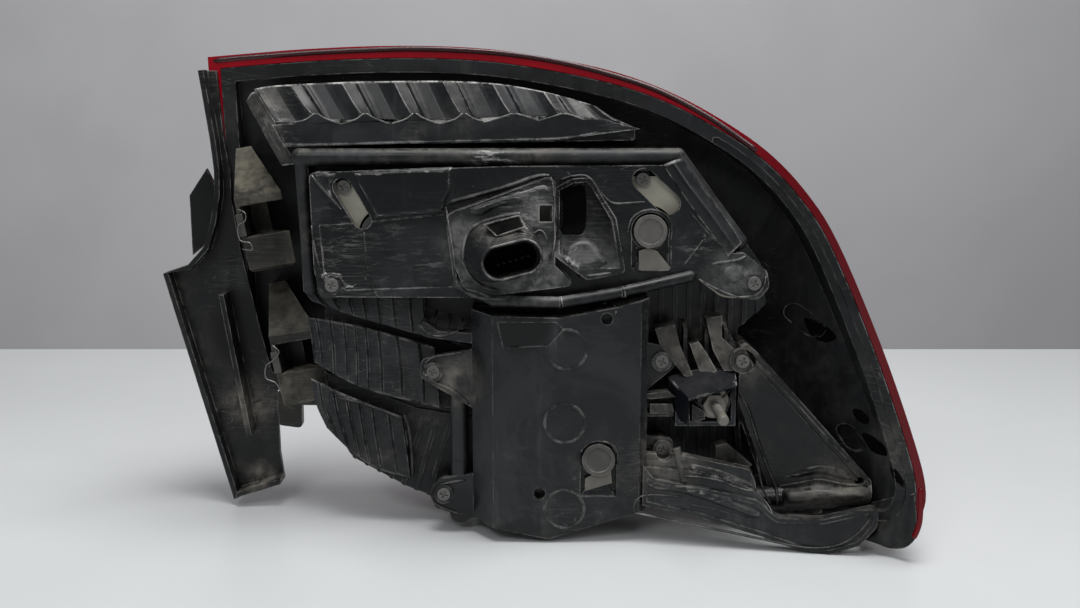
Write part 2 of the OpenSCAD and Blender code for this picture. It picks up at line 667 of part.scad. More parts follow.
// Column over the lower bulbs, with its ears, its foot band and the lobe
module lower_carrier() color(black) at_stud() {
    column();
    tail_wedge(cap_low, column_y + 4.5);
}
module column() difference() {
    union() {
        intersection() {
            translate([0, 0, -far]) linear_extrude(2 * far) polygon([[column_x[0], column_back],
                [column_x[0], 2], [column_x[0] + 12, column_y], [column_x[1] - 4, column_y],
                [column_x[1], column_y + 4], [column_x[1], column_back]]);
            slab(column_foot, -far, far);
        }
        foot_band();
        for (e = ear_lines) slab(rounded(e), ear_y, ear_y + plate_t);
        for (p = column_ears) rod(p, ear_y - collar_h, ear_y + 1, head_r + fit + collar_w);
        // upright bar that joins the left ears, shelves beside the right ears
        bar([bar_x, ear_y + 5, 12], [bar_x, ear_y + 5, -48], bar_r);
        for (z = shelf_z) box([column_x[1] - 2, -17], [ear_y - 1, column_back], span(z, 0, 2.2));
        slab(rounded([[-129.5, 39, 0], [-150, 40, 3], [-158, 46, 0], [-162, 43, 2], [-158, 37, 4],
            [-129.5, 33, 0]]), 3, column_back);
        for (r = rings_at) difference() {
            rod(r, column_y - 0.7, column_y + 1, ring_r);
            rod(r, column_y - 1, column_y + 2, ring_r - 0.9);
        }
    }
    difference() {
        intersection() {
            translate([0, 0, -far]) linear_extrude(2 * far) polygon([
                [column_x[0] + wall, column_back + 1], [column_x[0] + wall, 3],
                [column_x[0] + 13, column_y + wall], [column_x[1] - 5, column_y + wall],
                [column_x[1] - wall, column_y + 5], [column_x[1] - wall, column_back + 1]]);
            slab(line(column_foot, wall), -far, far);
        }
        keyhole(cap_low, column_y, column_y + 8, wall);
        for (h = column_holes) rod(h, column_y, column_y + 8, hole_r + 2);
    }
    slab(patch_line, column_y - 1, column_y + 1.2);
    keyhole(cap_low, column_y - 1, column_y + 6);
    for (p = column_ears) {
        rod(p, -far, far, shank_r + fit);
        rod(p, -far, ear_y, head_r + fit);
    }
    for (h = column_holes) rod(h, -far, column_y + 6, hole_r);
}
ear_lines = [
    [[-130, 30, 0], [-148, 27, 4], [-160, 24, 5], [-161, 14, 6], [-150, 7, 4], [-130, -5, 0]],
    [[-130, -43, 0], [-150, -46, 5], [-157, -54, 6], [-153, -64, 5], [-130, -70, 0]],
    [[-34, 34, 0], [-19, 31, 5], [-16, 20, 5], [-34, 5, 0]],
    [[-34, -20, 0], [-17, -22, 4], [-16, -33, 4], [-34, -36, 0]]];
// Band and lobe, turned with the corner of the car
module foot_band() intersection() {
    union() {
        turned() difference() {
            slab(line(lobe_edge), 0, lobe_t);
            slab(line(lobe_edge, lobe_rim), -1, 1);
        }
        turned() slab(tier_line, 4, lobe_t + 3);
        turned() slab(tier_low, 2, lobe_t + 1);
        turned() bar(strap_at[0], strap_at[1], 2.4);
    }
    behind(-fit);
}
lobe_t = 7;
lobe_rim = 2.6;
module turned() translate([column_x[1], column_y, 0]) rotate([0, 0, -lobe_turn])
    translate([-column_x[1], 0, 0]) children();

// Three-cornered hollow cover beside the lobe; its foot lies over the lens edge
module corner_cover() color(black) at_stud() difference() {
    union() {
        difference() {
            intersection() {
                slab(line(cover_edge), -60, rib_y - fit);
                union() {
                    difference() {
                        cover_front(0);
                        cover_facet();
                    }
                    bar(cover_roll[0], cover_roll[1], roll_r);
                    for (b = cover_beads) on_cover() bar(b[0], b[1], bead_r);
                }
                in_tub();
            }
            rod(cover_ears[0], -far, far, boss_r + 2);
        }
        rod(cover_ears[0], cover_ear_y, cover_ear_y + plate_t, boss_r + 2);
    }
    intersection() {
        slab(line(cover_edge, wall), -60, far);
        cover_front(wall);
    }
    rod(cover_ears[0], -far, far, shank_r + fit);
    rod(cover_hole, -far, far, 2.5);
}
module on_cover() translate([20, -7, 30]) rotate([7, 0, -12.8]) children();
module cover_front(d) on_cover() translate([-200, d, -200]) cube([400, 90, 400]);
// Side facet to the left of the cover's ridge
module cover_facet() on_cover() translate([cover_ridge[0], 0, cover_ridge[1]]) rotate([0, -cover_ridge[2], 0])
    rotate([0, 0, 50]) translate([-200, -200, -200]) cube([200, 400, 400]);

// Stadium-shaped plug inlet with its latch housing
module plug_shroud() color(black) at_stud() at_plug() difference() {
    union() {
        shroud_form(shroud_r, -shroud_l, 0);
        box([-14, 10], [-shroud_l + 6, 0], [0, shroud_r + 7]);
    }
    shroud_form(shroud_r - shroud_wall, -shroud_l - 1, -2);
    box([-11.5, 7.5], [-shroud_l + 5, -2.5], [shroud_r + 1, shroud_r + 5.2]);
    for (i = [0:pin_count - 1]) rod([pin_x(i), 0], -3, 1, 0.8);
}
module at_plug() translate([plug_at[0], -base_h, plug_at[1]]) rotate([0, -plug_lean, 0]) children();
function pin_x(i) = (i - (pin_count - 1) / 2) * shroud_w / (pin_count - 1);
module shroud_form(r, y0, y1) slot([-shroud_w / 2, 0], [shroud_w / 2, 0], r, y0, y1);
module plug_pins() color([0.75, 0.68, 0.45]) at_stud() at_plug()
    for (i = [0:pin_count - 1]) rod([pin_x(i), 0], -shroud_l * 0.6, 0, 0.8);

module breather(at, y) {
    rod(at, y - 7, y, cap_r - 1);
    difference() {
        rod(at, y - 7.8, y - 3, cap_r);
        rod(at, y - 9, y - 7, cap_r - 2.2);
    }
}
module upper_breather_cap() color(dusty) at_stud() breather(cap_up, panel_y - 2);
module lower_breather_cap() color(dusty) at_stud() breather(cap_low, column_y + 6);

// Bulb holders stand on the back of their carrier
module holder(at, y0) difference() {
    rod(at, y0, back_y + wall + 10, holder_r);
    rod(at, back_y, far, holder_r - 3);
}
module upper_holders() color(black) at_stud() for (b = bulbs_up) holder(b, plate_t);
module lower_holders() color(black) at_stud() for (b = bulbs_low) holder(b, column_y + wall);

// Bulb: brass-coloured cap and a round glass
module bulb(at) {
    rod(at, back_y, back_y + wall + 14, glass_r - 2);
    translate([at[0], back_y + wall + 14, at[1]]) rotate([-90, 0, 0])
        cylinder(h = 6, r1 = glass_r - 2, r2 = glass_r);
    rod(at, back_y + wall + 20, back_y + wall + 24, glass_r);
    translate([at[0], back_y + wall + 24, at[1]]) sphere(glass_r);
}
module stop_bulb() color([0.9, 0.9, 0.9, 0.6]) at_stud() bulb(bulbs_up[0]);
module turn_bulb() color([0.95, 0.6, 0.15, 0.7]) at_stud() bulb(bulbs_up[1]);
module reverse_bulb() color([0.9, 0.9, 0.9, 0.6]) at_stud() bulb(bulbs_low[0]);
module fog_bulb() color([0.9, 0.9, 0.9, 0.6]) at_stud() bulb(bulbs_low[1]);

// Screw with a cross recess, its head resting on the depth y
module screw(at, y) difference() {
    union() {
        rod(at, y - 2.4, y, head_r);
        rod(at, y - 1, y + shank_l, shank_r);
    }
    for (a = [0, 90]) translate([at[0], y - 2.4, at[1]]) rotate([0, a + 20, 0])
        cube([head_r * 1.2, 2.4, 1], center = true);
}
module carrier_screws() color(steel) at_stud() {
    for (p = window_screws) screw(p, panel_y);
    for (p = ear_screws_at) screw(p, 0);
}
module ear_screws() color(steel) at_stud() {
    for (p = column_ears) screw(p, ear_y);
    for (p = cover_ears) screw(p, cover_ear_y);
}

// Open box that carries the stud, its top plate slopes down to the front and to the side
module stud_bracket() color(black) at_stud() difference() {
    union() {
        difference() {
            bracket_form(0, 0);
            bracket_form(wall, 1);
        }
        intersection() {
            union() {
                rod(stud_at, 2, rib_y, stud_boss_r);
                box(span(stud_at[0], -19, 11), [6, rib_y], span(stud_at[1], -1.2, 1.2));
                box(span(stud_at[0], 5.6, 8), [3, rib_y], span(stud_at[1], -12, 15));
            }
            bracket_form(1, 0);
        }
    }
    rod(stud_at, -1, far, root_r);
}
module bracket_form(d, out) intersection() {
    box(span(stud_at[0], bracket_x[0] + d, bracket_x[1] - d), [-out, rib_y - d],
        span(stud_at[1], bracket_z[0] + d, bracket_z[1]));
    translate([stud_at[0], 0, stud_at[1] + bracket_top - d]) rotate([bracket_slope, -bracket_lean, 0])
        translate([-60, -60, -120]) cube(120);
}
// Stud with its collar, thicker under the nut, with a dog point; the root is the collar's front
module mount_stud() color(steel) at_stud() {
    rod(stud_at, -stud_l, 1, stud_r - 0.6);
    rod(stud_at, dog_l - stud_l, 1, stud_r);
    rod(stud_at, -nut_end, 16, root_r);
    rod(stud_at, 0, collar_t, stud_boss_r);
}
module stud_nut() color(steel) at_stud() difference() {
    union() {
        translate([stud_at[0], -washer_t, stud_at[1]]) rotate([90, 0, 0])
            cylinder(h = nut_h, d = nut_af / cos(30), $fn = 6);
        rod(stud_at, -washer_t, 0, nut_af * 0.75);
    }
    rod(stud_at, -far, far, root_r);
}
module bump_stop() color([0.08, 0.08, 0.08]) at_stud() rod([-139, -68], ear_y + plate_t, 16, 6);

outer_lens();
lamp_housing();
side_flange();
upper_clip_tower();
lower_clip_tower();
upper_spring_clip();
lower_spring_clip();
stepped_reflector();
led_board();
chamber_shell();
inner_reflector();
cream_panel();
upper_seal();
lower_seal();
upper_carrier();
lower_carrier();
corner_cover();
plug_shroud();
plug_pins();
upper_breather_cap();
lower_breather_cap();
upper_holders();
lower_holders();
stop_bulb();
turn_bulb();
reverse_bulb();
fog_bulb();
carrier_screws();
ear_screws();
stud_bracket();
mount_stud();
stud_nut();
bump_stop();
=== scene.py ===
import bpy, bmesh, math
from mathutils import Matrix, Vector
from mathutils.bvhtree import BVHTree
from mathutils.geometry import delaunay_2d_cdt


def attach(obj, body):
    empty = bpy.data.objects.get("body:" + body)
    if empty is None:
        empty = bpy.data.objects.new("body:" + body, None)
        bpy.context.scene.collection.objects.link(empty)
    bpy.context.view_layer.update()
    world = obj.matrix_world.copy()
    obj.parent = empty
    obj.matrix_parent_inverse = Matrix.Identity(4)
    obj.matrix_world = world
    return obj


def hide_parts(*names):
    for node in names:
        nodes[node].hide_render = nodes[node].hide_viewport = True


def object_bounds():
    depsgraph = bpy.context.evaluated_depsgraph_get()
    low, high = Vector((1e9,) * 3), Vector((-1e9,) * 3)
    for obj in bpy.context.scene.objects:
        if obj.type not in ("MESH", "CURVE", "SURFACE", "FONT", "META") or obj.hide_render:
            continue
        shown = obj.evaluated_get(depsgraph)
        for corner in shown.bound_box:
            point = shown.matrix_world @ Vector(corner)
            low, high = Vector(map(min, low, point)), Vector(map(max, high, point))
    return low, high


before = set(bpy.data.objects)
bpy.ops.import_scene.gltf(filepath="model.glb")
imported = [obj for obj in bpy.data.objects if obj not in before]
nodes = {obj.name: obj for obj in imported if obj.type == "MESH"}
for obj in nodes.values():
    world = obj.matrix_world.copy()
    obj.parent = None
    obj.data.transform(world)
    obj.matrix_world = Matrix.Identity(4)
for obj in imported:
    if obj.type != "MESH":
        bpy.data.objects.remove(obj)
CAD_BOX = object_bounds()
scene = bpy.context.scene

# ---------------------------------------------------------------- materials


class Net:
    """Small helper that wires one node material."""

    def __init__(self, name):
        self.mat = bpy.data.materials.new(name)
        self.mat.use_nodes = True
        self.t = self.mat.node_tree
        self.bsdf = self.t.nodes["Principled BSDF"]
        self.geo = self.node("ShaderNodeNewGeometry")
        self.co = self.node("ShaderNodeTexCoord").outputs["Object"]

    def node(self, kind, **kw):
        n = self.t.nodes.new(kind)
        for k, v in kw.items():
            setattr(n, k, v)
        return n

    def link(self, a, b):
        self.t.links.new(a, b)

    def put(self, socket, v):
        if hasattr(v, "is_linked"):
            self.link(v, socket)
        else:
            socket.default_value = v

    def math(self, op, a, b, clamp=False):
        n = self.node("ShaderNodeMath", operation=op, use_clamp=clamp)
        for s, v in zip(n.inputs, (a, b)):
            self.put(s, v)
        return n.outputs[0]

    def mul(self, a, b):
        return self.math("MULTIPLY", a, b, clamp=True)

    def add(self, a, b):
        return self.math("ADD", a, b, clamp=True)

    def ramp(self, v, lo, hi, to_lo=0.0, to_hi=1.0, smooth=True):
        """v from lo..hi to to_lo..to_hi, clamped."""
        n = self.node("ShaderNodeMapRange", clamp=True)
        n.interpolation_type = "SMOOTHSTEP" if smooth else "LINEAR"
        for k, x in (("Value", v), ("From Min", lo), ("From Max", hi), ("To Min", to_lo), ("To Max", to_hi)):
            self.put(n.inputs[k], x)
        return n.outputs["Result"]

    def moved(self, loc=(0, 0, 0), rot=(0, 0, 0), scale=(1, 1, 1)):
        """The part's own coordinates, shifted, turned and stretched."""
        n = self.node("ShaderNodeMapping")
        self.link(self.co, n.inputs["Vector"])
        n.inputs["Location"].default_value = loc
        n.inputs["Rotation"].default_value = rot
        n.inputs["Scale"].default_value = scale
        return n.outputs[0]

    def noise(self, scale, detail=4.0, rough=0.55, vec=None, dist=0.0):
        n = self.node("ShaderNodeTexNoise")
        self.link(vec if vec is not None else self.co, n.inputs["Vector"])
        n.inputs["Scale"].default_value = scale
        n.inputs["Detail"].default_value = detail
        n.inputs["Roughness"].default_value = rough
        n.inputs["Distortion"].default_value = dist
        return n.outputs[0]

    def cells(self, scale, vec):
        """Distance to the edges of a cell pattern."""
        n = self.node("ShaderNodeTexVoronoi", feature="DISTANCE_TO_EDGE")
        self.link(vec, n.inputs["Vector"])
        n.inputs["Scale"].default_value = scale
        return n.outputs["Distance"]

    def mix(self, fac, a, b):
        n = self.node("ShaderNodeMix", data_type="RGBA")
        self.put(n.inputs["Factor"], fac)
        for k, v in ((6, a), (7, b)):
            self.put(n.inputs[k], v if hasattr(v, "is_linked") else (*v, 1.0))
        return n.outputs[2]

    def bump(self, height, strength, distance, normal=None):
        n = self.node("ShaderNodeBump")
        n.inputs["Strength"].default_value = strength
        n.inputs["Distance"].default_value = distance
        self.link(height, n.inputs["Height"])
        if normal is not None:
            self.link(normal, n.inputs["Normal"])
        return n.outputs[0]

    def up(self, lo=0.25, hi=0.9):
        """1 on faces that look up, where dust lies."""
        s = self.node("ShaderNodeSeparateXYZ")
        self.link(self.geo.outputs["Normal"], s.inputs[0])
        return self.ramp(s.outputs["Z"], lo, hi)

    def corner(self, radius=0.0011):
        """1 along edges: the rounded normal departs from the true one."""
        b = self.node("ShaderNodeBevel", samples=4)
        b.inputs["Radius"].default_value = radius
        d = self.node("ShaderNodeVectorMath", operation="DOT_PRODUCT")
        self.link(b.outputs[0], d.inputs[0])
        self.link(self.geo.outputs["True Normal"], d.inputs[1])
        return self.ramp(self.math("SUBTRACT", 1.0, d.outputs["Value"]), 0.02, 0.22)

    def hollow(self, distance):
        """1 in corners and under ledges."""
        a = self.node("ShaderNodeAmbientOcclusion", samples=6)
        a.inputs["Distance"].default_value = distance
        return self.math("SUBTRACT", 1.0, a.outputs["AO"], clamp=True)

    def spot(self, at, radius, soft):
        """1 near a point of the part, in metres."""
        d = self.node("ShaderNodeVectorMath", operation="DISTANCE")
        self.link(self.co, d.inputs[0])
        d.inputs[1].default_value = at
        return self.ramp(d.outputs["Value"], radius * (1 - soft), radius, 1.0, 0.0)

    def hairs(self, scale, rot, width=0.02):
        """Thin parallel scratches of uneven length."""
        v = self.moved(rot=rot, scale=(1, 1, 14.0))
        line = self.ramp(self.cells(scale, vec=v), 0.0, width, 1.0, 0.0)
        return self.mul(line, self.ramp(self.noise(scale * 0.35, 2.0), 0.52, 0.66))

    def done(self, colour, rough, normal=None, **plain):
        """Feed the shader: textures by link, plain values on its own sockets."""
        self.put(self.bsdf.inputs["Base Color"], colour if hasattr(colour, "is_linked") else (*colour, 1.0))
        self.put(self.bsdf.inputs["Roughness"], rough)
        if normal is not None:
            self.link(normal, self.bsdf.inputs["Normal"])
        for k, v in plain.items():
            self.bsdf.inputs[k.replace("_", " ")].default_value = v
        return self.mat


DUST = (0.20, 0.185, 0.16)
PALE = (0.46, 0.455, 0.44)
# BLACK is the colour of the painted shade in hollows
BLACK = (0.0015, 0.0015, 0.0015)
FILM = (0.085, 0.086, 0.085)


def plastic(name, base=(0.0075, 0.0082, 0.009), grey=(0.021, 0.0225, 0.0245), dust=0.4, veil=0.2, wear=0.7,
            smear=0.5, rough=0.36, seed=0.0, scuffs=(), dusty=(), dark=(), powder=DUST, gloss=0.26):
    """Moulded black plastic: wiped grey film in streaks, powdery dust on ledges and in some corners,
    painted shade that turns hollows black, pale worn edges, hairline scratches.
    scuffs, dusty and dark are (place, radius, strength); the dark spots go black with the painted shade."""
    n = Net(name)
    shift = n.moved(loc=(seed, seed * 0.7, -seed))
    fine = n.noise(170, 5, 0.65, vec=shift)
    # the film: large patches with ragged edges, wiped along the surface
    large = n.noise(17, 6, 0.68, vec=shift, dist=0.7)
    cloud = n.ramp(large, 0.42, 0.62)
    colour = n.mix(n.mul(cloud, smear), base, grey)
    wiped = n.noise(46, 5, 0.7, vec=n.moved(loc=(seed, 0, 0), rot=(0, 0.62, 0), scale=(1, 1, 0.14)))
    wiped_b = n.noise(52, 5, 0.7, vec=n.moved(loc=(0, 0, seed), rot=(0, -0.8, 0), scale=(1, 1, 0.12)))
    streak = n.math("MAXIMUM", n.ramp(wiped, 0.55, 0.7), n.ramp(wiped_b, 0.58, 0.7))
    colour = n.mix(n.mul(streak, n.mul(n.add(cloud, 0.25), 0.42 * smear)), colour, FILM)
    # dust lies on ledges, gathers in corners and stays as a thin veil in patches
    hollow = n.hollow(0.02)
    clumps = n.ramp(n.noise(75, 6, 0.7, vec=shift, dist=0.5), 0.36, 0.6)
    patchy = n.ramp(n.noise(24, 5, 0.7, vec=shift, dist=0.8), 0.38, 0.6)
    lie = n.mul(n.up(), n.add(n.mul(clumps, 0.7), n.mul(patchy, 0.4)))
    seam = n.mul(n.ramp(hollow, 0.12, 0.5), n.mul(patchy, clumps))
    film = n.mul(n.mul(n.ramp(n.noise(12, 6, 0.7, vec=n.moved(loc=(seed + 3, 0, 1)), dist=0.6), 0.5, 0.7),
                       clumps), veil)
    grit = n.add(n.mul(lie, dust), n.add(film, n.mul(seam, dust * 0.55)))
    for at, radius, strength in dusty:
        near = n.mul(n.spot(at, radius, 0.9), strength)
        grit = n.add(grit, n.mul(near, n.add(n.mul(clumps, 0.55), n.mul(patchy, 0.5))))
    grit = n.mul(grit, n.ramp(fine, 0.34, 0.6, 0.35, 1.0))
    colour = n.mix(grit, colour, powder)
    # painted shade: hollows and the dark spots go black
    shade = n.ramp(hollow, 0.22, 0.72, 0.0, 0.9)
    for at, radius, strength in dark:
        shade = n.add(shade, n.mul(n.spot(at, radius, 0.45), strength))
    keep = n.math("SUBTRACT", 1.0, n.math("MULTIPLY", grit, 0.6), clamp=True)
    colour = n.mix(n.mul(shade, keep), colour, BLACK)
    # worn edges and scratches
    edge = n.corner()
    marks = n.mul(n.mul(edge, n.ramp(n.noise(85, 5, 0.75, vec=shift), 0.42, 0.6)), wear)
    scr = n.add(n.hairs(38, (0.3, 0.6, 0.2)), n.hairs(30, (0.1, -0.9, 0.5), 0.016))
    marks = n.add(marks, n.mul(scr, 0.4 * wear))
    if scuffs:
        rub = n.ramp(n.noise(340, 6, 0.8, vec=n.moved(rot=(0, 0.55, 0), scale=(0.2, 1, 1))), 0.52, 0.6)
        for at, radius, strength in scuffs:
            near = n.mul(n.spot(at, radius, 0.85), strength)
            marks = n.add(marks, n.mul(near, n.add(n.mul(rub, 0.6), n.mul(edge, 0.9))))
    colour = n.mix(n.mul(marks, 0.85), colour, PALE)
    shine = n.add(n.math("MULTIPLY", grit, 0.55),
                  n.ramp(large, 0.35, 0.68, rough - 0.09, rough + 0.16, False))
    grain = n.bump(n.noise(900, 3, 0.6), 0.08, 0.0002)
    skin = n.bump(n.noise(34, 3, 0.5, vec=shift), 0.22, 0.0015, normal=grain)
    return n.done(colour, shine, skin, Specular_IOR_Level=gloss)


def simple(name, colour, rough, metal=0.0, dust=0.3, spec=0.5, mottle=0.25, bump=0.1):
    """Metal, rubber, foam or a plain small plastic part: mottled, dusty on top, paler at its edges."""
    n = Net(name)
    cloud = n.ramp(n.noise(40, 4, 0.6), 0.35, 0.7)
    dark = tuple(c * (1 - mottle) for c in colour)
    c = n.mix(cloud, dark, colour)
    lie = n.mul(n.add(n.up(), n.mul(n.hollow(0.006), 0.8)), n.ramp(n.noise(90, 4, 0.6), 0.35, 0.6))
    c = n.mix(n.mul(lie, dust), c, DUST)
    c = n.mix(n.mul(n.mul(n.corner(0.0006), n.ramp(n.noise(120), 0.4, 0.6)), 0.35),
              c, tuple(min(1, x * 1.6 + 0.08) for x in colour))
    r = n.ramp(n.noise(120, 3), 0.3, 0.7, rough - 0.08, rough + 0.1, False)
    return n.done(c, n.add(r, n.math("MULTIPLY", lie, dust * 0.4)), n.bump(n.noise(420, 3), bump, 0.0002),
                  Metallic=metal, Specular_IOR_Level=spec)


def lens_red():
    """Red lens with fine upright flutes; painted shade makes it darker on top and round the corner."""
    n = Net("red_lens")
    cloud = n.ramp(n.noise(22, 3), 0.35, 0.7)
    place = n.node("ShaderNodeSeparateXYZ")
    n.link(n.co, place.inputs[0])
    fluted = n.node("ShaderNodeTexWave", bands_direction="X")
    n.link(n.co, fluted.inputs["Vector"])
    fluted.inputs["Scale"].default_value = 60
    c = n.mix(cloud, (0.235, 0.0012, 0.007), (0.27, 0.0018, 0.0085))
    # painted shade: faces that look up go darker
    c = n.mix(n.mul(n.up(0.15, 0.8), 0.75), c, (0.10, 0.001, 0.003))
    # painted shade: darker round the corner, towards +X
    c = n.mix(n.ramp(place.outputs["X"], -0.02, 0.06, 0.0, 0.7), c, (0.06, 0.0006, 0.003))
    c = n.mix(n.mul(n.ramp(n.noise(60, 4), 0.62, 0.75), 0.12), c, (0.36, 0.10, 0.09))
    return n.done(c, n.ramp(n.noise(80, 3), 0.3, 0.7, 0.08, 0.17, False),
                  n.bump(fluted.outputs["Fac"], 0.2, 0.0006), Specular_IOR_Level=0.26)


def glass(name, colour):
    """Clear or tinted bulb glass."""
    n = Net(name)
    c = n.mix(n.ramp(n.noise(90, 3), 0.4, 0.7), colour, tuple(x * 0.85 for x in colour))
    return n.done(c, n.ramp(n.noise(60), 0.3, 0.7, 0.03, 0.10, False), Transmission_Weight=0.8, IOR=1.45)


# the photo's camera: place in metres, downward tilt, focal length in pixels of the 1080 x 608 picture
EYE = Vector((-0.0977, -0.6305, 0.1674))
TILT = math.radians(10)
FOCAL_PX = 1150.0
CENTRE_X, CENTRE_Y = 540, 304
AHEAD = Vector((0, math.cos(TILT), -math.sin(TILT)))
ABOVE = Vector((0, math.sin(TILT), math.cos(TILT)))


def towards(px, py):
    """Direction of the sight line through a place of the picture."""
    return AHEAD + Vector((1, 0, 0)) * ((px - CENTRE_X) / FOCAL_PX) + ABOVE * ((CENTRE_Y - py) / FOCAL_PX)


def sight(px, py, depth):
    """The point at a depth, in drawing millimetres, on the sight line through a place of the picture."""
    way = towards(px, py)
    return EYE + way * ((depth / 1000 - EYE.y) / way.y)


def P(x, y, z):
    """Drawing millimetres to metres in the frame."""
    return ((x - 5) / 1000, y / 1000, z / 1000)


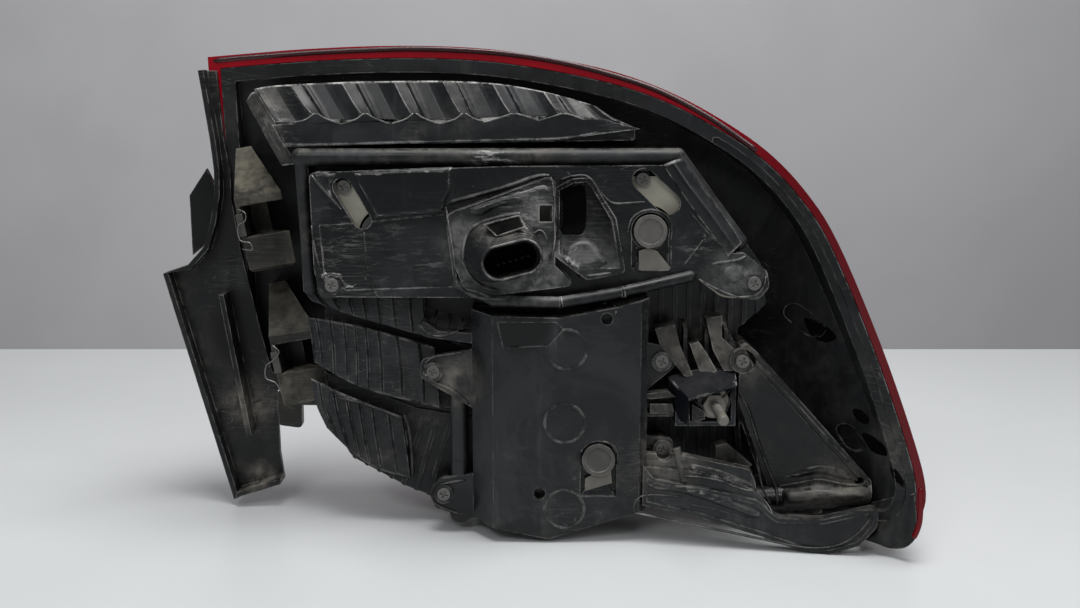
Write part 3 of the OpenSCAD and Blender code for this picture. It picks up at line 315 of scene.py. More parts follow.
MATS = {
    "outer_lens": lens_red(),
    "lamp_housing": plastic("housing_black", base=(0.0055, 0.006, 0.0065), dust=0.25, veil=0.09, wear=0.5,
                            smear=0.5, rough=0.5, seed=1.0,
                            dusty=((sight(850, 283, -16), 0.006, 1.0), (sight(840, 365, -14), 0.022, 0.15),
                                   (sight(893, 445, -26), 0.026, 0.3), (sight(782, 285, 8), 0.020, 0.25))),
    "side_flange": plastic("flange_black", base=(0.0045, 0.005, 0.0055), grey=(0.012, 0.013, 0.0145),
                           dust=0.45, veil=0.07, wear=0.6, smear=0.35, rough=0.3, seed=2.0,
                           dusty=((P(-272, 52, -15), 0.022, 0.9), (P(-266, 52, -62), 0.014, 1.0)),
                           # dark: painted shade in the channel right of the lip
                           dark=((P(-272, 57, 30), 0.03, 0.8), (P(-280, 57, 100), 0.04, 0.6))),
    "stepped_reflector": plastic("stepped_black", dust=0.3, veil=0.2, wear=1.0, smear=0.7, seed=3.0,
                                 dusty=((P(-250, 25, 155), 0.03, 0.8),),
                                 scuffs=((P(-240, 14, 150), 0.02, 0.8),)),
    "chamber_shell": plastic("shell_black", dust=0.4, veil=0.25, wear=0.35, smear=0.7, seed=4.0,
                             dusty=((P(6, 15, 30), 0.03, 0.9), (P(-224, 20, 100), 0.03, 0.5)),
                             scuffs=((P(-118, 5, 137), 0.02, 1.0),)),
    "upper_carrier": plastic("carrier_black", base=(0.0045, 0.005, 0.0056), grey=(0.0145, 0.0157, 0.0172),
                             dust=0.4, veil=0.2, wear=0.8, smear=0.65, seed=5.0, rough=0.32,
                             powder=(0.19, 0.19, 0.185),
                             dusty=((P(-132, -9, 88), 0.026, 1.0), (P(-95, -9, 75), 0.028, 1.0),
                                    (P(-95, -9, 108), 0.018, 0.8),
                                    (P(-65, -5, 85), 0.026, 0.12), (P(20, 0, 66), 0.03, 0.8)),
                             scuffs=((P(-98, -9, 112), 0.022, 0.8), (P(-62, -5, 105), 0.022, 0.12),
                                     (sight(336, 238, -7), 0.028, 0.3), (sight(432, 258, -7), 0.020, 0.4),
                                     (sight(395, 240, -7), 0.022, 0.2), (sight(700, 250, -7), 0.018, 0.4)),
                             dark=((P(-76, 0, 110), 0.018, 0.7),)),
    "lower_carrier": plastic("column_black", dust=0.28, veil=0.22, wear=0.5, smear=0.85, rough=0.24, seed=6.0,
                             dusty=((P(-25, 4, -8), 0.02, 0.8), (P(-20, 0, -30), 0.03, 0.6),
                                    (P(-140, 4, 10), 0.025, 0.6)),
                             dark=((sight(525, 326, -10.8), 0.019, 0.75),)),
    "corner_cover": plastic("cover_black", base=(0.003, 0.0034, 0.004), grey=(0.011, 0.012, 0.0135),
                            dust=0.35, veil=0.07, wear=0.6, smear=0.45, rough=0.27, seed=7.0,
                            dusty=((P(70, -15, -52), 0.03, 0.7), (P(22, -5, 25), 0.02, 0.6))),
    "plug_shroud": plastic("plug_black", dust=0.3, veil=0.2, wear=0.9, smear=0.6, seed=8.0,
                           scuffs=((P(-98, -20, 98), 0.018, 0.8),)),
    "stud_bracket": plastic("bracket_black", base=(0.008, 0.01, 0.016), dust=0.35, veil=0.1, wear=0.6,
                            smear=0.5, seed=9.0,
                            dusty=((P(-4, 8, -8), 0.014, 0.9),)),
    "upper_clip_tower": plastic("tower_dusty", base=(0.02, 0.019, 0.016), grey=(0.055, 0.051, 0.041),
                                dust=0.8, veil=0.6, wear=0.4, smear=0.9,
                                seed=10.0, powder=(0.155, 0.142, 0.108),
                                dusty=((P(-255, 40, 115), 0.04, 0.8),),
                                # dark: painted shade in the tower's mouth
                                dark=((sight(256, 238, 30), 0.022, 0.7),)),
    "lower_clip_tower": plastic("tower_dusty_low", base=(0.014, 0.0135, 0.012), grey=(0.042, 0.039, 0.032),
                                dust=0.5, veil=0.45, wear=0.4, smear=0.8,
                                seed=11.0, powder=(0.155, 0.142, 0.108),
                                dusty=((P(-235, 40, -5), 0.03, 0.8),)),
    "upper_breather_cap": plastic("cap_grey", base=(0.07, 0.068, 0.064), grey=(0.13, 0.125, 0.115),
                                  dust=0.6, veil=0.4, wear=0.5, seed=12.0),
    "lower_breather_cap": plastic("cap_grey_low", base=(0.05, 0.049, 0.047), grey=(0.10, 0.097, 0.09),
                                  dust=0.5, veil=0.4, wear=0.5, seed=13.0),
    "cream_panel": simple("cream_plastic", (0.46, 0.44, 0.36), 0.5, dust=0.5),
    "upper_seal": simple("foam_black", (0.02, 0.02, 0.02), 0.9, dust=0.2, bump=0.6),
    "lower_seal": simple("foam_black_low", (0.02, 0.02, 0.02), 0.9, dust=0.2, bump=0.6),
    "led_board": simple("board_green", (0.02, 0.09, 0.04), 0.4, dust=0.1),
    "inner_reflector": simple("bright_sheet", (0.75, 0.76, 0.78), 0.16, metal=1.0, dust=0.05, mottle=0.05),
    "upper_spring_clip": simple("spring_steel", (0.12, 0.116, 0.108), 0.35, metal=0.9, dust=0.4),
    "lower_spring_clip": simple("spring_steel_low", (0.12, 0.116, 0.108), 0.35, metal=0.9, dust=0.4),
    "carrier_screws": simple("screw_steel", (0.16, 0.155, 0.15), 0.38, metal=0.8, dust=0.5),
    "ear_screws": simple("screw_steel_low", (0.16, 0.155, 0.15), 0.38, metal=0.8, dust=0.5),
    "mount_stud": simple("stud_steel", (0.20, 0.19, 0.17), 0.4, metal=0.6, dust=0.6),
    "stud_nut": simple("nut_steel", (0.19, 0.18, 0.16), 0.42, metal=0.55, dust=0.6),
    # painted shade: pins near black, for the shadow inside the plug's mouth
    "plug_pins": simple("pin_brass_shaded", (0.012, 0.010, 0.007), 0.5, metal=0.9, dust=0.02),
    "bump_stop": simple("rubber_black", (0.012, 0.012, 0.012), 0.7, dust=0.3, bump=0.3),
    "upper_holders": simple("holder_black", (0.03, 0.03, 0.032), 0.5, dust=0.2),
    "lower_holders": simple("holder_black_low", (0.03, 0.03, 0.032), 0.5, dust=0.2),
    "stop_bulb": glass("bulb_clear", (0.9, 0.9, 0.9)),
    "reverse_bulb": glass("bulb_clear_b", (0.9, 0.9, 0.9)),
    "fog_bulb": glass("bulb_clear_c", (0.9, 0.9, 0.9)),
    "turn_bulb": glass("bulb_amber", (0.9, 0.45, 0.08)),
}

TRAY = plastic("tray_black", base=(0.003, 0.0036, 0.006), grey=(0.007, 0.008, 0.011), dust=0.05, veil=0.05,
               wear=0.6, rough=0.7, seed=14.0, gloss=0.1)
WEDGE = plastic("wedge_dusty", base=(0.012, 0.0118, 0.0112), grey=(0.035, 0.034, 0.031), dust=0.22, veil=0.5,
                wear=0.5, seed=15.0, dusty=((sight(700, 360, 0), 0.04, 0.35),))
WORN = plastic("worn_edge", base=(0.03, 0.031, 0.032), grey=(0.10, 0.10, 0.10), dust=0.4, veil=0.4, wear=1.0,
               seed=16.0)
# dust and painted light: pale colour for ledges that catch the light
LEDGE = simple("ledge_dust_and_light", (0.17, 0.163, 0.145), 0.8, dust=0.5, spec=0.1)
# painted shade: near-black stand-in for deep mouths and hollows
SHADE_BLACK = simple("recess_painted_shade", (0.003, 0.003, 0.003), 0.8, dust=0.02, spec=0.02)
# painted shade: dark red for the lens lip
LIP_SHADE = simple("lip_shade_red", (0.035, 0.001, 0.003), 0.22, dust=0.05, mottle=0.3)

# ---------------------------------------------------------------- CAD nodes: edges and finish

EDGE = {"outer_lens": 0.0006, "lamp_housing": 0.0006, "corner_cover": 0.0012, "lower_carrier": 0.0007,
        "upper_clip_tower": 0.0010, "lower_clip_tower": 0.0010, "stepped_reflector": 0.0006,
        "upper_carrier": 0.0006, "chamber_shell": 0.0004, "side_flange": 0.0005, "plug_shroud": 0.0006}

FINE = 0.00025
SAME, FLAT, SHARP = 2e-6, math.radians(0.6), math.radians(32)

for name, o in nodes.items():
    o.data.materials.clear()
    o.data.materials.append(MATS[name])
    for p in o.data.polygons:
        p.use_smooth = True
    w = o.modifiers.new("weld", "WELD")
    w.merge_threshold = SAME
    d = o.modifiers.new("flat", "DECIMATE")
    d.decimate_type = "DISSOLVE"
    d.angle_limit = FLAT
    b = o.modifiers.new("edge", "BEVEL")
    b.width = EDGE.get(name, FINE)
    b.segments = 2
    b.limit_method = "ANGLE"
    b.angle_limit = SHARP
    b.use_clamp_overlap = True
    b.harden_normals = False
    n = o.modifiers.new("shade", "WEIGHTED_NORMAL")
    n.keep_sharp = True

# ---------------------------------------------------------------- moulded details, laid on the CAD surfaces

TREES = {}


def tree(names):
    """Search tree over the faces of some CAD nodes."""
    if names not in TREES:
        pts, faces = [], []
        for name in names.split():
            k = len(pts)
            pts += [v.co.copy() for v in nodes[name].data.vertices]
            faces += [tuple(k + i for i in f.vertices) for f in nodes[name].data.polygons]
        TREES[names] = BVHTree.FromPolygons(pts, faces)
    return TREES[names]


def hit(names, px, py):
    """Where the sight line through a place of the picture meets the nodes: point and normal."""
    way = towards(px, py).normalized()
    at, normal, _, _ = tree(names).ray_cast(EYE, way)
    return (at, normal) if at is not None else (None, way)


def between(q, t):
    """A point of the smooth curve through four others, at share t of its middle span."""
    return 0.5 * (2 * q[1] + (q[2] - q[0]) * t + (2 * q[0] - 5 * q[1] + 4 * q[2] - q[3]) * t * t
                  + (3 * q[1] - q[0] - 3 * q[2] + q[3]) * t ** 3)


def smooth_line(pts, step=2.5, closed=False):
    """Even points on a smooth curve through pts."""
    out = []
    n = len(pts)
    for i in range(n if closed else n - 1):
        q = [Vector(pts[(i + k) % n] if closed else pts[min(max(i + k, 0), n - 1)]) for k in (-1, 0, 1, 2)]
        parts = max(1, int((q[2] - q[1]).length / step))
        out += [between(q, j / parts) for j in range(parts)]
    if not closed:
        out.append(Vector(pts[-1]))
    return out


def piece(name, bm, mat):
    """Finish a piece: outward normals, smooth shading but on blocks, material and body."""
    bmesh.ops.recalc_face_normals(bm, faces=bm.faces)
    for f in bm.faces:
        f.smooth = f.material_index == 0
        f.material_index = 0
    me = bpy.data.meshes.new(name)
    bm.to_mesh(me)
    bm.free()
    me.materials.append(mat)
    o = bpy.data.objects.new(name, me)
    scene.collection.objects.link(o)
    w = o.modifiers.new("shade", "WEIGHTED_NORMAL")
    w.keep_sharp = True
    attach(o, "root")
    return o


ARC = 6
BEAD_ROOT = 0.0008


def add_bead(bm, names, pts, width, height, straight=False):
    """A rounded bead along picture points, in millimetres across and high, with tapered ends."""
    line = [Vector(q) for q in pts] if straight else smooth_line(pts)
    if straight:
        line = [a.lerp(b, k / 8) for a, b in zip(line, line[1:]) for k in range(8)] + [line[-1]]
    found = [hit(names, *q) for q in line]
    kept = [f for f in found if f[0] is not None]
    if len(kept) < 3:
        print("bead misses", names, pts[0])
        return
    at = [f[0] for f in kept]
    nor = [f[1] if f[1].dot(AHEAD) < 0 else -f[1] for f in kept]
    n = len(at)
    for _ in range(3):
        nor = [(nor[max(i - 1, 0)] + nor[i] + nor[min(i + 1, n - 1)]).normalized() for i in range(n)]
        at = [at[i] if i in (0, n - 1) else (at[i - 1] + at[i] * 2 + at[i + 1]) / 4 for i in range(n)]
    rings = []
    for i in range(n):
        ahead = at[min(i + 1, n - 1)] - at[max(i - 1, 0)]
        across = ahead.cross(nor[i]).normalized()
        end = min(1.0, 0.35 + 0.3 * min(i, n - 1 - i))
        ring = [bm.verts.new(at[i] + across * (math.cos(a) * width * end / 2000)
                             + nor[i] * (math.sin(a) * height * end / 1000))
                for a in [math.pi * k / ARC for k in range(ARC + 1)]]
        ring += [bm.verts.new(at[i] + across * (c * width / 2000) - nor[i] * BEAD_ROOT) for c in (-0.9, 0.9)]
        rings.append(ring)
    m = len(rings[0])
    for a, b in zip(rings, rings[1:]):
        for k in range(m):
            bm.faces.new((a[k], a[(k + 1) % m], b[(k + 1) % m], b[k]))
    bm.faces.new(rings[0])
    bm.faces.new(rings[-1][::-1])


PAD_BACK = 1.2
ROW = 0.87


def inside(q, ring):
    """Whether a place of the picture lies inside a closed line."""
    odd = False
    for a, b in zip(ring, ring[1:] + ring[:1]):
        if (a.y > q.y) != (b.y > q.y) and q.x < (b.x - a.x) * (q.y - a.y) / (b.y - a.y) + a.x:
            odd = not odd
    return odd


def add_pad(bm, names, pts, height, flank, grid=3.0, smooth=True, sink=0.4):
    """A moulded boss over an outline of picture points: height in millimetres, flank in pixels.
    Its rim sinks by sink and its back lies PAD_BACK millimetres under the surface."""
    ring = smooth_line(pts, 3.0, True) if smooth else [
        Vector(a).lerp(Vector(b), k / 6) for a, b in zip(pts, pts[1:] + pts[:1]) for k in range(6)]
    xs, ys = [q.x for q in ring], [q.y for q in ring]

    def off(q):
        best = 1e9
        for a, b in zip(ring, ring[1:] + ring[:1]):
            d = b - a
            t = max(0.0, min(1.0, (q - a).dot(d) / max(d.length_squared, 1e-9)))
            best = min(best, (q - a - d * t).length)
        return best

    free = []
    y = min(ys) + grid / 2
    row = 0
    while y < max(ys):
        x = min(xs) + grid / 2 * (1 + row % 2)
        while x < max(xs):
            q = Vector((x, y))
            if inside(q, ring) and off(q) > grid * 0.45:
                free.append(q)
            x += grid
        y += grid * ROW
        row += 1
    edge = [(i, (i + 1) % len(ring)) for i in range(len(ring))]
    co, _, faces, _, _, _ = delaunay_2d_cdt([Vector(q) for q in ring] + free, edge, [], 1, 1e-4)
    found = [hit(names, *q) for q in co]
    kept = [f for f in found if f[0] is not None]
    if len(kept) < len(found) * 0.6:
        print("pad misses", names, pts[0], len(kept), len(found))
        return
    normal = Vector((0, 0, 0))
    for at, nor in kept:
        normal += nor if nor.dot(AHEAD) < 0 else -nor
    normal.normalize()
    centre = sum((f[0] for f in kept), Vector((0, 0, 0))) / len(kept)
    top, low = [], []
    for q, (at, nor) in zip(co, found):
        if at is None:
            way = nor
            at = EYE + way * ((centre - EYE).dot(normal) / way.dot(normal))
        d = min(1.0, off(q) / flank)
        rise = d * d * (3 - 2 * d) * height
        top.append(bm.verts.new(at + normal * ((rise - (sink if d < 0.02 else 0)) / 1000)))
        low.append(bm.verts.new(at - normal * (PAD_BACK / 1000)))
    count = {}
    for f in faces:
        bm.faces.new([top[i] for i in f])
        bm.faces.new([low[i] for i in reversed(f)])
        for a, b in zip(f, list(f[1:]) + [f[0]]):
            count[(a, b)] = True
    for a, b in count:
        if (b, a) not in count:
            bm.faces.new((top[b], top[a], low[a], low[b]))
    for v in [v for v in bm.verts if not v.link_faces]:
        bm.verts.remove(v)


def spline(row, parts):
    """Points on a smooth curve through row, parts of them to a span."""
    out = []
    n = len(row)
    for i in range(n - 1):
        q = [row[min(max(i + k, 0), n - 1)] for k in (-1, 0, 1, 2)]
        out += [between(q, j / parts) for j in range(parts)]
    return out + [row[-1]]


def add_sheet(bm, rows, across=6, down=6, back=3.0, relief=None):
    """A free-form moulded skin through rows of (px, py, depth), with a thickness away from the viewer.
    relief(u, v) adds millimetres towards the viewer."""
    grid = [spline([Vector(q) for q in row], across) for row in rows]
    cols = [spline([row[i] for row in grid], down) for i in range(len(grid[0]))]
    nu, nv = len(cols), len(cols[0])
    top, low = [], []
    for i, col in enumerate(cols):
        for j, q in enumerate(col):
            rise = relief(i / (nu - 1), j / (nv - 1)) if relief else 0.0
            top.append(bm.verts.new(sight(q.x, q.y, q.z - rise)))
            low.append(bm.verts.new(sight(q.x, q.y, q.z + back)))
    at = lambda i, j: i * nv + j
    for i in range(nu - 1):
        for j in range(nv - 1):
            a, b, c, d = at(i, j), at(i + 1, j), at(i + 1, j + 1), at(i, j + 1)
            bm.faces.new((top[a], top[b], top[c], top[d]))
            bm.faces.new((low[d], low[c], low[b], low[a]))
    rim = [at(i, 0) for i in range(nu)] + [at(nu - 1, j) for j in range(1, nv)]
    rim += [at(i, nv - 1) for i in range(nu - 2, -1, -1)] + [at(0, j) for j in range(nv - 2, 0, -1)]
    for a, b in zip(rim, rim[1:] + rim[:1]):
        bm.faces.new((top[a], low[a], low[b], top[b]))


SIDES = 8


def add_tube(bm, pts, width, height=None, parts=5):
    """A rod or rounded strip along (px, py, depth) points, in millimetres across."""
    line = [sight(*q) for q in spline([Vector(q) for q in pts], parts)]
    n = len(line)
    rings = []
    for i, at in enumerate(line):
        ahead = (line[min(i + 1, n - 1)] - line[max(i - 1, 0)]).normalized()
        side = ahead.cross(AHEAD).normalized()
        out = side.cross(ahead).normalized()
        end = 0.55 if i in (0, n - 1) else 1.0
        rings.append([bm.verts.new(at + side * (math.cos(a) * width * end / 2000)
                                   + out * (math.sin(a) * (height or width) * end / 2000))
                      for a in [2 * math.pi * k / SIDES for k in range(SIDES)]])
    for a, b in zip(rings, rings[1:]):
        for k in range(SIDES):
            bm.faces.new((a[k], a[(k + 1) % SIDES], b[(k + 1) % SIDES], b[k]))
    bm.faces.new(rings[0])
    bm.faces.new(rings[-1][::-1])


def add_block(bm, front, depth, back):
    """A slab with a picture outline, at one depth or at the depths in its points; sides go straight back."""
    a = [bm.verts.new(sight(*q, depth) if len(q) == 2 else sight(*q)) for q in front]
    b = [bm.verts.new(v.co + Vector((0, back / 1000, 0))) for v in a]
    made = bmesh.ops.triangulate(bm, faces=[bm.faces.new(a), bm.faces.new(b[::-1])])["faces"]
    made += [bm.faces.new((a[k], b[k], b[(k + 1) % len(a)], a[(k + 1) % len(a)])) for k in range(len(a))]
    for f in made:
        f.material_index = 1


def details(name, node, beads=(), pads=(), tubes=(), blocks=(), mat=None):
    """One piece that holds the beads, bosses, strips and blocks moulded on a node."""
    bm = bmesh.new()
    for t in tubes:
        add_tube(bm, *t)
    for q in blocks:
        add_block(bm, *q)
    for b in beads:
        add_bead(bm, node, *b[:3], **(b[3] if len(b) > 3 else {}))
    for q in pads:
        add_pad(bm, node, *q[:3], **(q[3] if len(q) > 3 else {}))
    return piece(name, bm, mat or MATS[node])


# upper carrier: raised fields, ridges, rims of the plug base and of the scoop
details("carrier_moulding", "upper_carrier", beads=[
    ([(311, 174), (320, 186), (330, 197), (341, 209)], 1.6, 1.3),
    ([(305, 178), (310, 215), (315, 248), (321, 271)], 1.2, 0.9),
    ([(372, 222), (400, 219), (444, 215)], 1.0, 0.9),
    ([(364, 232), (367, 262), (372, 284), (378, 297)], 1.2, 0.8),
    ([(447, 204), (462, 199), (485, 193), (512, 185), (534, 177), (549, 175)], 2.6, 2.2),
    ([(446, 207), (450, 232), (455, 262), (457, 284)], 1.5, 1.5),
    ([(457, 285), (470, 294), (488, 299), (505, 299)], 1.8, 1.4),
    ([(551, 177), (555, 200), (556, 225), (553, 252), (549, 262)], 1.4, 1.6),
    ([(463, 262), (464, 244), (469, 231), (480, 223), (495, 218), (520, 213)], 2.4, 1.8),
    ([(463, 262), (470, 276), (484, 287), (500, 291)], 2.2, 1.5),
    ([(533, 235), (538, 229), (544, 231), (547, 240)], 1.0, 1.0),
    ([(559, 181), (568, 177), (585, 175), (591, 179), (601, 193), (612, 203), (630, 203), (645, 202)],
     1.5, 1.3),
    ([(576, 276), (590, 276), (611, 273)], 1.8, 1.4),
    ([(690, 212), (702, 226), (714, 239), (729, 252)], 1.1, 0.8),
    ([(703, 240), (694, 252), (684, 265)], 1.0, 0.7),
    ([(628, 232), (631, 219), (642, 211), (656, 210), (667, 216), (672, 228), (671, 240)], 1.4, 1.1),
    ([(637, 247), (637, 271), (654, 271), (671, 270), (671, 246)], 0.9, 0.8, {"straight": True}),
    ([(699, 279), (718, 296), (735, 298), (752, 296), (763, 288), (766, 276)], 1.3, 1.2),
    ([(712, 264), (724, 262), (738, 260), (747, 255)], 1.8, 1.2),
], pads=[
    ([(352, 171), (452, 167), (452, 192), (447, 200), (444, 213), (375, 219), (368, 204), (358, 187)],
     1.2, 3, {"smooth": False}),
    ([(314, 173), (337, 173), (333, 181), (333, 196), (338, 206), (326, 192)], 1.0, 3),
    ([(318, 275), (341, 273), (347, 283), (362, 288), (345, 290), (335, 298), (320, 296)], 1.2, 3),
    ([(705, 233), (709, 237), (705, 241), (701, 237)], 0.9, 2, {"grid": 1.5}),
    ([(562, 252), (572, 240), (590, 238), (602, 252), (608, 264), (590, 271), (574, 271)], 1.8, 6),
    ([(725, 266), (742, 264), (745, 275), (735, 284), (722, 280)], 1.2, 4),
    ([(466, 210), (490, 200), (520, 191), (545, 184), (549, 196), (530, 203), (500, 208), (480, 217)],
     1.2, 5),
])
# rolled right edge of the upper carrier, from the plate over to its seat
bm = bmesh.new()
add_sheet(bm, [
    [(663, 165, -0.4), (672, 161, -1.2), (682, 158, 3.4)],
    [(679, 189, -0.5), (688, 185, -1.6), (697, 180, 3.2)],
    [(698, 216, -0.5), (707, 210, -1.7), (715, 204, 3.0)],
    [(716, 240, -0.5), (724, 234, -1.6), (732, 227, 2.8)],
    [(728, 257, -0.4), (735, 250, -1.2), (742, 243, 2.6)],
], across=5, down=5, back=4)
piece("carrier_edge", bm, MATS["upper_carrier"])
# pale ledges, dust and painted light where they catch the light: under the two breather caps and round the
# ear
bm = bmesh.new()
add_block(bm, [(639, 251), (648, 248), (657, 251), (671, 268), (670, 270), (639, 271)], -0.2, 1.5)
add_block(bm, [(585, 479), (598, 472), (611, 469), (612, 483), (585, 491)], -10.8, 1.5)
add_tube(bm, [(699, 279, -0.4), (712, 289, -0.4), (723, 296, -0.4), (742, 297, -0.4), (757, 294, -0.4),
              (765, 284, -0.4)], 1.1)
piece("pale_ledges", bm, LEDGE)
# lower carrier: rolled tiers and rims of the lobe, plate outline, column details
details("column_moulding", "lower_carrier", beads=[
    ([(684, 476), (702, 477), (722, 481), (742, 489), (756, 491)], 1.1, 1.1),
    ([(757, 492), (766, 502), (772, 514)], 1.1, 1.2),
    ([(634, 511), (634, 503), (641, 496), (662, 495), (687, 498), (689, 504), (706, 507), (730, 513),
      (752, 519)], 0.9, 0.6),
    ([(635, 513), (652, 513), (690, 519), (722, 529), (760, 538), (795, 546), (820, 548), (843, 543),
      (860, 531), (870, 518), (872, 510)], 1.3, 1.0),
    ([(603, 304), (612, 303), (617, 312), (612, 319)], 1.2, 1.2),
    ([(576, 462), (582, 450), (596, 442), (610, 443), (618, 452), (617, 464)], 1.6, 1.1),
    ([(583, 472), (585, 491), (612, 482), (611, 468)], 0.9, 0.8, {"straight": True}),
], pads=[
    ([(641, 481), (662, 484), (690, 486), (720, 495), (745, 504), (763, 513), (757, 519), (735, 512),
      (705, 501), (680, 494), (655, 490)], 2.0, 5),
    ([(686, 463), (702, 465), (725, 471), (748, 481), (756, 487), (738, 486), (715, 479), (697, 475)],
     1.6, 5),
])
# corner cover: concave face between its ridges, crease and rolled foot
details("cover_moulding", "corner_cover", beads=[
    ([(735, 385), (748, 408), (758, 440), (766, 462), (776, 488), (778, 508)], 1.9, 1.6),
    ([(780, 486), (800, 482), (820, 479), (845, 484), (862, 485)], 1.3, 1.1),
    ([(757, 456), (750, 464), (757, 476), (764, 492), (773, 508)], 1.0, 1.0),
], pads=[
    ([(780, 478), (795, 470), (812, 465), (835, 466), (853, 475), (858, 481), (842, 480), (820, 475),
      (800, 478)], 1.6, 6),
    ([(782, 489), (800, 485), (820, 482), (845, 487), (860, 488), (868, 497), (850, 502), (828, 503),
      (805, 508), (785, 509)], 2.4, 8),
])
# chambers on the left: fluted skins, each over the top of the next
FLUTES = [
    ("flutes_top", [[(305, 292, 19), (345, 290, 18), (385, 290, 17), (425, 290, 16)],
                    [(312, 301, 17), (347, 306, 16), (385, 314, 15.5), (425, 322, 15)],
                    [(322, 305, 17.5), (348, 314, 16), (385, 325, 15), (424, 336, 14.5)]], 8),
    ("flutes_middle", [[(308, 317, 18), (345, 323, 18), (380, 331, 17), (436, 347, 16)],
                       [(311, 338, 16.5), (346, 351, 16), (381, 362, 15.5), (438, 378, 15)],
                       [(314, 362, 15.5), (347, 381, 15), (382, 394, 14.5), (440, 408, 14)]], 9),
    ("flutes_low", [[(311, 378, 19), (340, 392, 18.5), (370, 404, 18), (404, 417, 17.5)],
                    [(316, 404, 18), (345, 420, 17), (374, 436, 16.5), (408, 446, 16)],
                    [(327, 428, 18), (352, 452, 17), (378, 469, 16.5), (411, 478, 16)]], 7),
]
for name, rows, count in FLUTES:
    def fold(u, v, count=count):
        t = (u * count + 0.12 * math.sin(3 * v + count)) % 1.0
        return 2.2 * (t if t < 0.85 else (1 - t) * 0.85 / 0.15) * (0.5 + 0.5 * min(1.0, 6 * (1 - v)))
    bm = bmesh.new()
    add_sheet(bm, rows, across=count * 6, down=6, back=5.0, relief=fold)
    piece(name, bm, MATS["chamber_shell"])
details("chamber_edges", "chamber_shell", tubes=[
    ([(404, 415, 15), (409, 428, 14), (412, 452, 14), (413, 477, 15)], 2.2, 3.0),
    ([(340, 398, 15.5), (362, 403, 15), (384, 411, 14.5), (402, 418, 14)], 1.4, 2.2),
    ([(322, 383, 16), (336, 393, 15.5), (352, 400, 15)], 1.2, 2.0),
])
# lowest corner of the housing wing, with the last of the red rim
bm = bmesh.new()
add_sheet(bm, [
    [(863, 505, -9), (880, 500, -19), (893, 497, -30), (903, 495, -34.8), (911, 494, -40), (914.5, 493, -42)],
    [(860, 520, -16), (878, 518, -25), (892, 516, -32.6), (903, 515, -37), (911, 514, -41),
     (916.5, 512, -43)],
    [(860, 534, -24), (876, 534, -30.5), (891, 533, -34), (903, 532, -38), (911, 530, -41.8),
     (917.5, 526, -43.6)],
    [(866, 540, -27), (880, 543, -32), (893, 545, -35), (904, 544, -39), (912, 540, -42), (917, 534, -44)],
    [(877, 543, -26), (885, 547, -31), (895, 549, -36), (904, 548, -39.5), (911, 544, -42), (916, 538, -44)],
], back=6.0)
piece("housing_foot", bm, MATS["lamp_housing"])
bm = bmesh.new()
add_tube(bm, [(920.6, 488, -43.2), (920.9, 500, -43.8), (920.5, 512, -44), (919.6, 522, -44.2),
              (917, 531, -44.2), (913.5, 538, -44)], 3.1)
piece("rim_end", bm, MATS["outer_lens"])
# moulded lip along the free edge of the lens, painted dark red as shade
bm = bmesh.new()
add_bead(bm, "outer_lens", [(213, 61), (235, 58.5), (260, 56.5), (310, 52.8), (360, 50.4), (410, 49),
                            (460, 50.4), (510, 54.4),
                            (560, 62.2), (610, 74.5), (660, 91.5), (710, 118), (757, 151)], 3.0, 0.7)
piece("lens_lip", bm, LIP_SHADE)
# wedge faces over the stud bracket, with dark slits between them
details("fin_moulding", "chamber_shell", mat=WEDGE, blocks=[
    ([(655, 329, 3), (675, 325, 3), (680, 345, 0), (694, 378, -4), (684, 376, -4), (672, 360, 0),
      (660, 345, 2)], -2, 14),
    ([(690, 345, 2), (699, 342, 2), (708, 355, 0), (717, 371, -4), (703, 379, -4), (696, 362, 0)], -2, 14),
    ([(706, 318, 4), (722, 316, 4), (722, 338, 1), (746, 360, -3), (737, 371, -4), (724, 371, -3),
      (713, 350, 0)], -2, 14),
])
# tray over the stud: sloping top, front edge and left wall
bm = bmesh.new()
add_sheet(bm, [
    [(668, 377, 0), (690, 371, -1), (712, 368, -1), (735, 371, -1)],
    [(676, 386, -8), (694, 383, -8), (714, 379, -8), (736, 377, -8)],
    [(689, 400, -15), (702, 396, -15), (718, 391, -15), (737, 385, -15)],
], back=1.6)
add_block(bm, [(669, 379, 0), (689, 400, -15), (690, 427, -15), (679, 419, -4), (671, 400, 0)], 0, 3)
add_tube(bm, [(689, 400, -15.4), (704, 396, -15.4), (720, 391, -15.4), (737, 385, -15.4)], 1.3)
add_tube(bm, [(736, 378, -12), (731, 396, -11), (726, 413, -8)], 1.4)
add_tube(bm, [(736, 384, -14), (722, 398, -9)], 1.2)
add_tube(bm, [(692, 399, -14), (704, 408, -8)], 1.2)
piece("tray_moulding", bm, TRAY)
details("tray_block", "stud_bracket", mat=WEDGE, blocks=[
    ([(692, 404), (704, 411), (705, 419), (692, 423)], -8, 8),
    ([(716, 446), (726, 443), (752, 465), (740, 470), (716, 460)], 0, 8),
    ([(640, 395), (668, 391), (676, 397), (650, 399)], -4, 6),
    ([(650, 404), (672, 404), (674, 412), (650, 414)], -4, 6),
])
# body of the plug inlet: a drawn-out oval sleeve that leans down, with a latch window
LEAN = math.radians(14)
FACE = (math.cos(LEAN), -math.sin(LEAN))
ROUND = 48


def oval(cx, cy, half, tall, depth):
    """A tilted oval of picture points at a depth."""
    out = []
    for k in range(ROUND):
        a = 2 * math.pi * k / ROUND
        c, d = math.cos(a), math.sin(a)
        x = (half - tall) * (1 if c > 0.001 else -1 if c < -0.001 else 0) + tall * c
        y = tall * d
        out.append(sight(cx + x * FACE[0] - y * FACE[1], cy + x * FACE[1] + y * FACE[0], depth))
    return out


